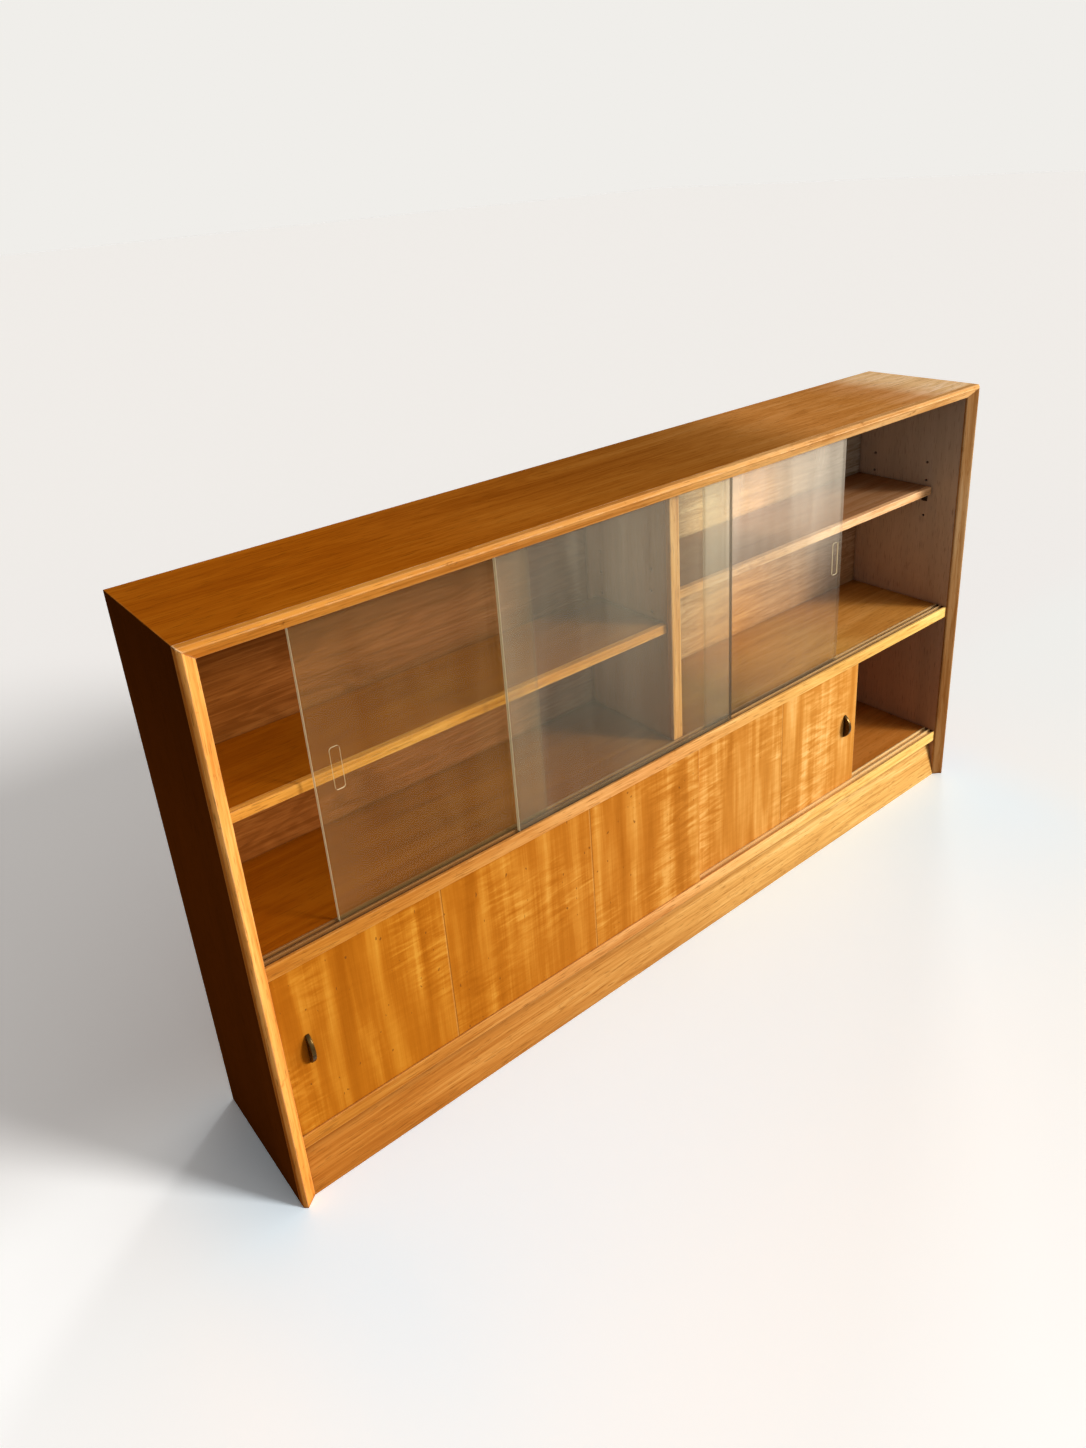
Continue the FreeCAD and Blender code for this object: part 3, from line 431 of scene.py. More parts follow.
# %% [markdown]
# ## The wood recipe
# A dark, a middle and a light tone are given as they look in daylight, and `contrast` says how
# far the figure swings between them. `lines`, `fibres`, `pores`, `dents` and `wear` say how much
# of each layer shows. The old finish has gone dull and mirrors nothing, so its specular level
# is 0. Its roughness still varies, for whoever turns that level up.

# %% Figure
def wood_figure(tree, axis, seed, figure, contrast, lines, fibres, drawn, swirl_from):
    """How light the wood is, and its fibre streaks."""
    calm, swirled = 0.6, 3.5
    warp = calm
    if swirl_from is not None:
        warp = spread(tree, where(tree)["X"], swirl_from, swirl_from + 0.1, calm, swirled)
    broad_place = along_grain(tree, axis, drawn, seed)
    fine_place = along_grain(tree, axis, 45.0, seed)
    broad = noise(tree, broad_place, figure, detail=3, rough=0.55, warp=warp)
    rings = maths(tree, "SINE", times(tree, broad, 70.0))
    streaks = noise(tree, fine_place, 260.0, detail=3, rough=0.65)
    bands = noise(tree, fine_place, 45.0, detail=2, rough=0.5)
    tone = with_pattern(tree, 0.5, broad, 1.9 * contrast)
    tone = maths(tree, "MULTIPLY_ADD", rings, 0.16 * lines, tone)
    tone = with_pattern(tree, tone, bands, 0.9 * contrast)
    return with_pattern(tree, tone, streaks, 1.1 * fibres), streaks


# %% Marks of use
PORE_SHADE = (0.45, 0.40, 0.35)
DENT_SHADE = (0.60, 0.55, 0.50)


def shade_of(colour, shares):
    """Three numbers, each cut to its share."""
    return [part * share for part, share in zip(colour, shares)]


def rubbed_edges(tree, colour, edge, seed, wear, worn):
    """Edges that hands have rubbed pale, in patches."""
    patches = spread(tree, noise(tree, place_at(tree, shift=(seed, 3, 1)), 38.0, detail=3),
                     0.35, 0.62, 0.25, 1.0)
    pale_edge = times(tree, near_edge(tree, edge), patches)
    return blend(tree, times(tree, pale_edge, wear), colour, worn)


def dented(tree, colour, height, seed, dents, dark):
    """Small dark dents, in the colour and in the height of the surface."""
    spots = noise(tree, place_at(tree, shift=(seed, 5, 2)), 55.0, detail=3, rough=0.6)
    dent = spread(tree, spots, 0.64, 0.74)
    colour = blend(tree, times(tree, dent, 0.45 * dents), colour,
                   shade_of(dark, DENT_SHADE))
    return colour, maths(tree, "SUBTRACT", height, times(tree, dent, 4.0 * dents))


print("marks of use ready")


# %% Wood recipe
def wood(name, axis, dark, middle, light, seed=0.0, figure=7.0, contrast=1.0, lines=0.25,
         fibres=0.35, pores=0.35, wear=0.0, worn=(0.9, 0.6, 0.3), rough=0.42, edge=0.003,
         dents=0.0, painted_light=None, painted_light_high=None, inside_light=None, flank_shade=None, corner=0.012, drawn=9.0,
         height_shade=None, rounding=0.0008, swirl_from=None, painted_light_back=1.0):
    """A wood finish with its grain along one axis."""
    finish, tree = new_finish(name)
    tone, streaks = wood_figure(tree, axis, seed, figure, contrast, lines, fibres, drawn,
                                swirl_from)
    colour = tones(tree, tone, (0.12, dark), (0.5, middle), (0.88, light))
    # Painted light and shade: along the case, inside, on the outer faces and by height.
    colour = painted_light_and_shade(tree, colour, painted_light, painted_light_high, painted_light_back, flank_shade, inside_light, height_shade)

    pore = spread(tree, noise(tree, along_grain(tree, axis, 16.0, seed), 620.0, detail=1),
                  0.60, 0.70)
    colour = blend(tree, times(tree, pore, pores), colour, shade_of(dark, PORE_SHADE))
    height = maths(tree, "SUBTRACT", times(tree, streaks, 0.5), pore)
    if wear:
        colour = rubbed_edges(tree, colour, edge, seed, wear, worn)
    if dents:
        colour, height = dented(tree, colour, height, seed, dents, dark)
    # Painted shade, with some dirt, in the corners.
    colour = darker_corners(tree, colour, corner, 0.6)

    smudge = noise(tree, place_at(tree, shift=(0, seed, 7)), 9.0, detail=3)
    polish = spread(tree, smudge, 0.3, 0.7, rough - 0.07, rough + 0.08)
    polish = maths(tree, "MULTIPLY_ADD", pore, 0.15, polish)
    soft = node(tree, "ShaderNodeBevel", {"Radius": rounding}, samples=4).outputs["Normal"]
    return with_surface(finish, node(tree, "ShaderNodeBsdfPrincipled", {
        "Base Color": colour, "Roughness": polish, "Specular IOR Level": 0.0,
        "Normal": relief(tree, height, 0.35, 0.0004, Normal=soft),
    }))


def dress(finish, *names):
    """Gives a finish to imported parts, in their one material slot."""
    for name in names:
        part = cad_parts[name]
        for slot in part.material_slots:
            slot.link = "OBJECT"
            slot.material = finish
        if not part.material_slots:
            part.data.materials.append(finish)
    print(finish.name, "on", ", ".join(names))


# %% [markdown]
# ## Top and sides
# The broad boards are veneered in a brown, fine-grained wood. The top has its grain along the
# case, the sides have it upright. The same recipe gives both, with the axis changed. The top
# catches the window most, so its painted light grows strongly towards the right, up to a painted
# glare at the right end. A side has painted shade outside and painted light inside, the right
# one most of all, and painted shade towards its top.

# %% Top and side finishes
# Its tints are painted light along the top, and the last ones a painted glare at the right end.
top_veneer = wood("top_veneer", X, (0.31, 0.085, 0.002), (0.41, 0.130, 0.004),
                  (0.50, 0.185, 0.008), seed=1.3, figure=12.0, contrast=0.55, lines=0.45,
                  fibres=0.7, pores=0.45, wear=0.35, worn=(0.60, 0.24, 0.05), rough=0.26,
                  drawn=7.0,
                  painted_light=((-0.506, (1.0, 0.80, 0.95)), (-0.31, (0.99, 0.90, 2.0)),
                        (-0.121, (0.84, 0.82, 2.4)), (0.094, (0.78, 0.84, 3.5)),
                        (0.227, (0.92, 1.1, 6.4)), (0.351, (1.38, 1.72, 12.0)),
                        (0.531, (1.22, 1.48, 9.5)), (0.622, (1.35, 1.85, 18.0)),
                        (0.705, (1.9, 3.8, 60.0))))
dress(top_veneer, "top_panel")

# Painted light on the inner faces, painted shade towards the top.
for side, high_tint in (("left", (2.4, 6.0, 45.0)), ("right", (3.0, 11.0, 110.0))):
    side_veneer = wood(f"{side}_side_veneer", Z, (0.17, 0.042, 0.0034), (0.21, 0.050, 0.004),
                       (0.25, 0.060, 0.005), seed=4.1, contrast=0.4, lines=0.2, fibres=0.25,
                       wear=0.3, worn=(0.4, 0.17, 0.04), inside_light=((2.3, 5.3, 38.0), high_tint),
                       height_shade=(0.82, 0.56, (0.66, 0.68, 0.78)))
    dress(side_veneer, f"{side}_side_panel")

# %% [markdown]
# ## Boards and shelves inside
# These boards are veneered much like the top, in darker tones and without wear, and carry
# painted light along the case. The bottom board lies behind the doors, so it gets less painted
# light and deeper painted shade in its corners. The right shelf stands in full light.

# %% Board finishes
board_look = dict(dark=(0.26, 0.078, 0.006), middle=(0.35, 0.115, 0.010),
                  light=(0.44, 0.165, 0.020), figure=8.0, contrast=0.6, lines=0.45, fibres=0.55)
# Painted light along the case, dark at the left and pale at the right.
board_veneer = wood("board_veneer", X, seed=6.7, corner=0.03,
                    painted_light=((-0.666, (0.98, 0.74, 0.22)), (-0.101, (0.80, 0.80, 0.88)),
                          (0.149, (0.85, 1.25, 2.2)), (0.243, (1.38, 1.84, 3.4)),
                          (0.318, (1.55, 2.1, 3.8)), (0.45, (1.42, 2.05, 4.5)),
                          (0.54, (1.36, 1.75, 3.7))), **board_look)
dress(board_veneer, "middle_board", "left_shelf")

# Less painted light, and deeper painted shade in the corners, behind the doors.
low_veneer = wood("low_veneer", X, seed=6.1, corner=0.06,
                  painted_light=((-0.666, (0.98, 0.74, 0.22)), (0.149, (0.75, 1.0, 1.7)),
                        (0.318, (1.2, 1.2, 2.0))), **board_look)
dress(low_veneer, "bottom_board")

# Painted light along the shelf.
shelf_veneer = wood("shelf_veneer", X, (0.28, 0.090, 0.018), (0.37, 0.135, 0.030),
                    (0.46, 0.195, 0.055), seed=7.9, figure=8.0, contrast=0.7, lines=0.45,
                    fibres=0.6, painted_light=((0, (0.75, 0.9, 1.2)), (0.249, (0.78, 1.0, 1.5)),
                                      (0.359, (1.05, 1.4, 2.4)), (0.544, (0.80, 1.05, 1.9))))
dress(shelf_veneer, "right_shelf")

# %% [markdown]
# ## Partitions and back
# The partitions are a paler, quieter wood. The back is thin plywood, peeled from the log round
# and round, which gives a wild, swirling figure: `swirl_from` warps the noise from there to the
# right. Its tints are painted light and shade. They change with height too, because the shelves
# shade it, and they stop short of its rear face, which stands against a wall.

# %% Partition and back finishes
upright_veneer = wood("upright_veneer", Z, (0.37, 0.185, 0.062), (0.50, 0.255, 0.093),
                      (0.61, 0.325, 0.13), seed=9.2, contrast=0.6, lines=0.3)
dress(upright_veneer, "upper_partition", "lower_partition")

# Painted light and shade, different low and high, and none on the rear face.
back_plywood = wood("back_plywood", X, (0.23, 0.072, 0.016), (0.31, 0.105, 0.028),
                    (0.40, 0.150, 0.045), seed=12.5, figure=18.0, contrast=0.6, lines=0.9,
                    fibres=1.3, rough=0.55, drawn=7.0, swirl_from=-0.05,
                    painted_light=((-0.666, (0.86, 0.76, 0.48)), (-0.318, (0.86, 0.77, 0.78)),
                          (0, (1.2, 1.6, 2.4)), (0.169, (1.4, 2.4, 4.0)),
                          (0.294, (1.56, 2.25, 2.5)), (0.359, (1.58, 2.1, 2.0)),
                          (0.452, (1.2, 1.76, 2.5)), (0.53, (1.13, 1.65, 2.4)),
                          (0.62, (1.26, 1.95, 3.2))),
                    painted_light_high=((-0.666, (0.80, 0.73, 0.46)), (-0.318, (0.84, 0.80, 0.93)),
                               (0, (1.0, 1.3, 2.0)), (0.169, (1.2, 2.3, 4.6)),
                               (0.24, (2.3, 4.6, 8.5)), (0.294, (2.5, 4.8, 7.4)),
                               (0.359, (2.5, 4.1, 5.6)), (0.422, (2.45, 3.75, 5.2)),
                               (0.5, (1.35, 2.5, 4.9)), (0.56, (1.05, 2.05, 4.2)),
                               (0.7, (1.2, 3.0, 8.5))),
                    painted_light_back=0.118)
dress(back_plywood, "back_panel")

# %% [markdown]
# ## Solid edges
# Each veneered board ends in a strip of solid wood, lighter and more golden than the veneer.
# Hands, shoes and cleaning have rubbed these strips, so they carry the most wear: pale rubbed
# corners, small dents and darker spots. Their tints are painted light along the case, with some
# painted shade and a painted highlight besides.

# %% Edge finishes
edge_look = dict(dark=(0.56, 0.21, 0.035), middle=(0.78, 0.36, 0.085), light=(0.92, 0.50, 0.15),
                 figure=30.0, pores=0.5, rough=0.4)
long_edge = wood("long_edge", X, seed=15.1, contrast=0.7, fibres=1.0, wear=0.5,
                 worn=(0.92, 0.56, 0.22), dents=0.7,
                 painted_light=((-0.666, (0.76, 0.62, 0.36)), (-0.067, (1.0, 1.02, 1.35)),
                       (0.572, (1.04, 1.38, 1.6))), **edge_look)
dress(long_edge, "middle_board_lipping", "bottom_board_lipping")

# Painted light along the case and a painted shade on the strip's upper face.
top_edge = wood("top_edge", X, seed=15.9, contrast=0.7, fibres=1.0, wear=0.8,
                worn=(0.98, 0.66, 0.36), dents=1.2, rounding=0.0012, edge=0.004,
                height_shade=(0.836, 0.828, (0.80, 0.76, 0.75)),
                painted_light=((-0.666, (1.0, 0.80, 0.45)), (0, (1.08, 1.10, 1.2)),
                      (0.452, (1.05, 1.25, 1.9))), **edge_look)
dress(top_edge, "top_lipping")

shelf_edge = wood("shelf_edge", X, seed=16.6, contrast=0.7, fibres=1.0, wear=0.4,
                  worn=(0.96, 0.66, 0.34), dents=0.5,
                  painted_light=((-0.572, (1.0, 0.92, 0.6)), (-0.067, (1.0, 1.0, 0.8)),
                        (0.205, (1.02, 1.3, 2.7))), **edge_look)
dress(shelf_edge, "left_shelf_lipping", "right_shelf_lipping")

# Painted highlight on the left side's front edge; painted shade on the right one, towards the
# bottom and on the outer faces.
upright_edge = wood("upright_edge", Z, seed=17.4, contrast=0.9, fibres=1.1, wear=0.6,
                    worn=(0.98, 0.70, 0.38), dents=0.9, rounding=0.005,
                    height_shade=(0.1, 0.5, (0.95, 0.82, 0.66)), flank_shade=(0.95, 0.70, 0.45),
                    painted_light=((-0.705, (1.2, 1.12, 1.05)), (-0.669, (1.0, 0.99, 1.33)),
                          (0, (0.95, 1.0, 1.2)), (0.666, (0.54, 0.60, 0.92))), **edge_look)
dress(upright_edge, "left_side_lipping", "right_side_lipping", "upper_partition_lipping")

# %% [markdown]
# ## Plinth
# The leaning board near the floor is solid too, with a straighter grain that runs its whole
# length. A painted shadow darkens its top band under the lipping of the bottom board, and
# painted shade with some dirt darkens its corners and its foot.

# %% Plinth finish
# Painted light along the case, a painted shadow on the top band, painted shade in the corners.
plinth_wood = wood("plinth_wood", X, (0.50, 0.19, 0.03), (0.70, 0.32, 0.065), (0.86, 0.46, 0.12),
                   seed=21.0, figure=30.0, contrast=0.55, lines=0.5, fibres=1.0, pores=0.5,
                   wear=0.4, worn=(0.9, 0.55, 0.22), dents=0.4, drawn=26.0, corner=0.03,
                   painted_light=((-0.666, (0.72, 0.55, 0.39)), (0.452, (1.03, 1.27, 1.8))),
                   height_shade=(0.082, 0.058, (0.42, 0.33, 0.27)))
dress(plinth_wood, "plinth_board")

# %% [markdown]
# ## Door veneer
# The doors wear the best veneer. It is cut so that upright ribbons of light and dark cross
# short ripples of shine, and the leaves are laid side by side with a fine joint between them.
# Ribbons are a noise that changes mostly across the door. Ripples are a noise drawn out the other
# way, and they show only in patches. Every leaf reads its noise at another place.

# %% Ribbons and ripples
def ribbon_tone(tree, leaf, seed):
    """How light the veneer is, and its finest hairs. `leaf` is the number of the leaf."""
    moved = node(tree, "ShaderNodeCombineXYZ", {
        "X": times(tree, leaf, 2.37), "Y": seed,
        "Z": times(tree, leaf, 0.61),
    }).outputs["Vector"]
    leaf_place = node(tree, "ShaderNodeVectorMath", {
        0: place_at(tree), 1: moved,
    }, operation="ADD").outputs["Vector"]

    def squeezed(scale, turn=0.0):
        made = node(tree, "ShaderNodeMapping", {
            "Vector": leaf_place, "Scale": scale, "Rotation": (0, math.radians(turn), 0),
        })
        return made.outputs["Vector"]

    ribbons = noise(tree, squeezed((1, 1, 0.10), 2.0), 30.0, detail=2, rough=0.5, warp=0.5)
    narrow = noise(tree, squeezed((1, 1, 0.05), 1.0), 90.0, detail=3, rough=0.6, warp=0.2)
    hairs = noise(tree, squeezed((1, 1, 0.02)), 480.0, detail=2, rough=0.6)
    ripples = noise(tree, squeezed((0.16, 1, 1.0), 13.0), 120.0, detail=3, rough=0.55, warp=0.6)
    patches = spread(tree, noise(tree, squeezed((1, 1, 0.6)), 8.0, detail=2), 0.40, 0.66)
    tone = with_pattern(tree, 0.44, ribbons, 1.9)
    tone = with_pattern(tree, tone, narrow, 0.45)
    tone = with_pattern(tree, tone, hairs, 0.4)
    return with_pattern(tree, tone, ripples, spread(tree, patches, 0, 1, 0.25, 1.7), 0.47), hairs


print("ribbons ready")


# %% Door finishes
def door_veneer(name, leaf_start, leaf_width, seed):
    """The veneer of one door. Its leaves are counted from an X, each of one width."""
    finish, tree = new_finish(name)
    along = maths(tree, "SUBTRACT", where(tree)["X"], leaf_start)
    count = maths(tree, "DIVIDE", along, leaf_width)
    tone, hairs = ribbon_tone(tree, maths(tree, "FLOOR", count), seed)
    colour = tones(tree, tone, (0.0, (0.46, 0.145, 0.012)), (0.4, (0.575, 0.200, 0.021)),
                   (0.7, (0.70, 0.285, 0.042)), (1.0, (0.83, 0.405, 0.085)))
    # Painted light along the case.
    colour = painted_light_along(tree, colour, (-0.572, (0.88, 0.78, 0.42)), (-0.067, (0.93, 0.93, 1.0)),
                   (0.241, (1.02, 1.2, 1.9)))

    across_leaf = maths(tree, "FRACT", count)
    joint = maths(tree, "LESS_THAN", across_leaf, 0.005)
    colour = blend(tree, times(tree, joint, 0.7), colour, (0.25, 0.09, 0.015))
    beside = maths(tree, "GREATER_THAN", across_leaf, 0.993)
    colour = blend(tree, times(tree, beside, 0.15), colour, (0.90, 0.55, 0.20))
    fleck = spread(tree, noise(tree, place_at(tree, scale=(1, 1, 0.5), shift=(seed, 2, 4)), 230.0,
                               detail=0), 0.83, 0.86)
    colour = blend(tree, times(tree, fleck, 0.7), colour, (0.16, 0.05, 0.01))
    # A painted highlight on the door's rounded edges.
    pale_edge = near_edge(tree, 0.0025)
    colour = blend(tree, times(tree, pale_edge, 0.8), colour, (0.95, 0.66, 0.34))
    # Painted shade where the door meets other parts.
    colour = darker_corners(tree, colour, 0.012, 0.75)

    height = maths(tree, "SUBTRACT", times(tree, hairs, 0.6), joint)
    polish = spread(tree, noise(tree, place_at(tree), 8.0, detail=3), 0.3, 0.7, 0.30, 0.42)
    return with_surface(finish, node(tree, "ShaderNodeBsdfPrincipled", {
        "Base Color": colour, "Roughness": polish, "Specular IOR Level": 0.0,
        "Normal": relief(tree, height, 0.25, 0.0003),
    }))


left_veneer = door_veneer("left_door_veneer", leaf_start=-0.485, leaf_width=0.2715, seed=0.0)
dress(left_veneer, "left_door")
right_veneer = door_veneer("right_door_veneer", leaf_start=0.030, leaf_width=0.2220, seed=4.0)
dress(right_veneer, "right_door")

# %% [markdown]
# ## Hidden timber
# The rail and the blocks behind the plinth and the tongues in the mitres are plain pale wood
# that nobody stained, so the recipe runs without wear or tints.

# %% Hidden timber
plain_timber = wood("plain_timber", X, (0.50, 0.33, 0.16), (0.63, 0.44, 0.24),
                    (0.74, 0.55, 0.33), seed=25.0, contrast=0.8, lines=0.8, rough=0.7)
hidden = [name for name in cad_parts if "glue_block" in name or "mitre_tongue" in name]
dress(plain_timber, "rear_plinth_rail", *hidden)

# %% [markdown]
# ## Tracks
# The grooved tracks are pressed from a tan material. A soft noise for its mottling is enough,
# with painted shade and some dirt in the grooves, found by ambient occlusion, painted light
# along the case, and ribs that are rubbed pale, which also paints their highlight.

# %% Track finishes
def track_finish(name, dark, light, edge_light, occlusion_shade):
    """The tan of a track, pale on its ribs, rubbed and with a painted highlight, and darker in its
    grooves with painted shade and some dirt.
    """
    finish, tree = new_finish(name)
    mottle = noise(tree, along_grain(tree, X, 12.0, 2.0), 120.0, detail=3)
    colour = tones(tree, mottle, (0.3, dark), (0.7, light))
    # Pale ribs: rubbed, and a painted highlight as well.
    pale_edge = near_edge(tree, 0.001)
    colour = blend(tree, times(tree, pale_edge, 0.8), colour, edge_light)
    # Painted light along the case.
    colour = painted_light_along(tree, colour, (-0.666, (0.8, 0.7, 0.6)), (0, (1.0, 1.0, 1.0)),
                   (0.452, (1.25, 1.5, 1.8)))
    # Painted shade, with some dirt, in the grooves.
    groove = node(tree, "ShaderNodeAmbientOcclusion", {"Distance": 0.006}, samples=4)
    colour = blend(tree, spread(tree, groove.outputs["AO"], 0.35, 0.75, occlusion_shade, 0.0), colour,
                   (0.12, 0.06, 0.02))
    return with_surface(finish, node(tree, "ShaderNodeBsdfPrincipled", {
        "Base Color": colour, "Roughness": spread(tree, mottle, 0.3, 0.7, 0.4, 0.55),
        "Specular IOR Level": 0.0,
    }))


dress(track_finish("glass_track_tan", (0.28, 0.125, 0.035), (0.38, 0.19, 0.06),
                   edge_light=(0.88, 0.62, 0.32), occlusion_shade=0.85), "glass_track")
dress(track_finish("door_track_tan", (0.52, 0.25, 0.07), (0.65, 0.35, 0.12),
                   edge_light=(0.92, 0.68, 0.36), occlusion_shade=0.45), "door_track")

# %% [markdown]
# ## Small metal
# The pulls are old brass, the shelf pegs dark metal and the pins and screws plain steel. All
# three are one recipe: tarnish in clouds, fine upright scratches, and bare bright metal at the
# edges, where fingers and tools have rubbed it.

# %% Metal finishes
BRIGHTEST = (0.95, 0.85, 0.7)


def metal(name, dark, bright, rough, edge_light):
    """Handled metal between a dark and a bright tone, with a share of bare edges."""
    finish, tree = new_finish(name)
    clouds = noise(tree, place_at(tree), 140.0, detail=4, rough=0.6)
    scratches = noise(tree, place_at(tree, scale=(1, 1, 0.04)), 1500.0, detail=2)
    bare = [min(part * 2.4, most) for part, most in zip(bright, BRIGHTEST)]
    pale_edge = times(tree, near_edge(tree, 0.0012), edge_light)
    colour = blend(tree, pale_edge, tones(tree, clouds, (0.3, dark), (0.75, bright)), bare)
    return with_surface(finish, node(tree, "ShaderNodeBsdfPrincipled", {
        "Base Color": colour, "Metallic": 1.0,
        "Roughness": spread(tree, clouds, 0.3, 0.7, rough + 0.12, rough - 0.05),
        "Normal": relief(tree, scratches, 0.2, 0.0001),
    }))


old_brass = metal("old_brass", (0.04, 0.022, 0.007), (0.11, 0.065, 0.02), 0.26, 1.0)
peg_metal = metal("peg_metal", (0.02, 0.015, 0.010), (0.07, 0.052, 0.035), 0.5, 0.5)
pin_steel = metal("pin_steel", (0.30, 0.29, 0.27), (0.55, 0.54, 0.52), 0.35, 0.4)
dress(peg_metal, "left_shelf_pegs", "right_shelf_pegs")

# %% [markdown]
# ## Glass
# A pane is clear where it is looked through and mirrors more at a flat angle. The shader mixes a
# transparent part, faintly green, with a shiny part, and the share of the shiny part rises with
# Layer Weight's Facing, from under 1 percent straight on to a third at a flat angle. Old panes
# are never clean, so a thin film of dust adds to that share, wiped thinner in upright strokes
# and thicker towards the top. The film also paints a haze of window light, which is why it is
# thickest at the top of the right pane.

# %% Dust and painted haze
PANE_TOP = 0.80


def dust_and_haze_film(tree, low, high, start):
    """How much of a pane its dust and painted haze hide, up to the height `start` and at its top.
    """
    strokes = noise(tree, place_at(tree, scale=(1, 1, 0.12)), 14.0, detail=4, rough=0.6, warp=0.4)
    specks = noise(tree, place_at(tree), 420.0, detail=2)
    even = spread(tree, where(tree)["Z"], start, PANE_TOP, low, high)
    film = times(tree, even, spread(tree, strokes, 0.3, 0.7, 0.7, 1.3))
    return maths(tree, "ADD", film, spread(tree, specks, 0.70, 0.78, 0.0, 0.03))


print("dust is thickest at", PANE_TOP, "m")

# %% [markdown]
# The ends, the arrises and the walls of the ground finger grips scatter light instead, so they
# show as pale lines with a green core. Light that enters a pane runs along it and leaves here,
# which a faint emission stands for. An end that faces a dark corner gets a painted shade instead
# and no emission, and the foot, which stands in the track below the board's top, stays clear.

# %% Pane glass
BOARD_TOP = 0.392
END_DEPTH = 0.0015


def ground_glass(tree, ground, arris, right_end, shows, right_end_shade):
    """The colour of the ground faces and the light that leaves them."""
    green = spread(tree, noise(tree, place_at(tree, scale=(1, 1, 0.1)), 30.0), 0.35, 0.65)
    core = blend(tree, green, (0.46, 0.47, 0.32), (0.62, 0.58, 0.40))
    rim = blend(tree, arris, core, (0.94, 0.86, 0.62))
    # The right end gets a painted shade instead of the pale rim.
    rim = blend(tree, right_end, rim, right_end_shade)
    leaving = maths(tree, "MAXIMUM", arris, times(tree, ground, 0.35))
    leaving = times(tree, leaving, maths(tree, "SUBTRACT", 1.0, right_end))
    leaving = times(tree, leaving, shows)
    return rim, blend(tree, leaving, (0, 0, 0), (0.49, 0.40, 0.23))


def pane_glass(side, low, high, dust_and_haze, start=0.42, left_shows=0.9, right_shows=0.18,
               right_end_shade=(0.30, 0.29, 0.22)):
    """One pane: its film low and high, the colour of its dust and painted haze, and how much its
    ends show.
    """
    finish, tree = new_finish(f"{side}_pane_glass")
    ends = [corner[0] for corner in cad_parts[f"{side}_glass_pane"].bound_box]
    facing = node(tree, "ShaderNodeLayerWeight", {"Blend": 0.5}).outputs["Facing"]
    mirror = maths(tree, "MULTIPLY_ADD", maths(tree, "POWER", facing, 5.0), 0.3, 0.008)
    film = dust_and_haze_film(tree, low, high, start)

    direction = node(tree, "ShaderNodeNewGeometry").outputs["True Normal"]
    to_front = node(tree, "ShaderNodeSeparateXYZ", {"Vector": direction}).outputs["Y"]
    ground = maths(tree, "LESS_THAN", maths(tree, "ABSOLUTE", to_front), 0.93)
    arris = times(tree, near_edge(tree, 0.0025), ground)
    place = where(tree)
    left_end = maths(tree, "LESS_THAN", place["X"], min(ends) + END_DEPTH)
    right_end = maths(tree, "GREATER_THAN", place["X"], max(ends) - END_DEPTH)
    shows = spread(tree, right_end, 0, 1, 0.9, right_shows)
    shows = spread(tree, left_end, 0, 1, shows, left_shows)
    rim, glow = ground_glass(tree, ground, arris, right_end, shows, right_end_shade)

    opaque = times(tree, times(tree, ground, shows),
                   maths(tree, "GREATER_THAN", place["Z"], BOARD_TOP))
    filmed = maths(tree, "ADD", mirror, film)
    shiny = times(tree, maths(tree, "DIVIDE", mirror, filmed),
                  maths(tree, "SUBTRACT", 1.0, ground))
    surface = node(tree, "ShaderNodeBsdfPrincipled", {
        "Base Color": blend(tree, ground, dust_and_haze, rim), "Metallic": shiny,
        "Roughness": spread(tree, film, 0.02, 0.3, 0.03, 0.10),
        "Emission Color": glow, "Emission Strength": 1.0,
    })
    clear = node(tree, "ShaderNodeBsdfTransparent", {"Color": (0.955, 0.965, 0.945, 1)})
    return with_surface(finish, node(tree, "ShaderNodeMixShader", {
        0: maths(tree, "MAXIMUM", filmed, opaque), 1: clear.outputs[0], 2: surface.outputs[0],
    }))


left_glass = pane_glass("left", 0.042, 0.045, dust_and_haze=(0.86, 0.52, 0.20))
dress(left_glass, "left_glass_pane")
middle_glass = pane_glass("middle", 0.040, 0.10, dust_and_haze=(0.82, 0.73, 0.54), right_shows=0.85,
                          right_end_shade=(0.16, 0.09, 0.04))
dress(middle_glass, "middle_glass_pane")
right_glass = pane_glass("right", 0.025, 0.25, dust_and_haze=(0.96, 0.84, 0.68), start=0.52,
                         left_shows=0.15)
dress(right_glass, "right_glass_pane")

# %% [markdown]
# ## Door pulls
# Each pull is half a round brass plate, screwed on edge to the door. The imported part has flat
# bevels round its rim. A cast and handled plate is rounder, so this piece stands in for it: the
# same segment of a circle, with a bevel modifier that turns the rim soft.

# %% Plate outline
PULL_THICK = 0.006
PULL_CHORD = 0.048
PULL_PROUD = 0.01445
PULL_ROUNDING = 0.0021
OUTLINE_STEPS = 28


def plate_outline():
    """How far each point of the half moon stands out from the door and up from its middle."""
    radius = (PULL_CHORD * PULL_CHORD / 4 + PULL_PROUD * PULL_PROUD) / (2 * PULL_PROUD)
    half_angle = math.asin(PULL_CHORD / 2 / radius)
    outline = []
    for step in range(OUTLINE_STEPS + 1):
        angle = half_angle * (2 * step / OUTLINE_STEPS - 1)
        out = radius * math.cos(angle) - (radius - PULL_PROUD)
        outline.append((out, radius * math.sin(angle)))
    return outline


print(len(plate_outline()), "points round a pull's rim")


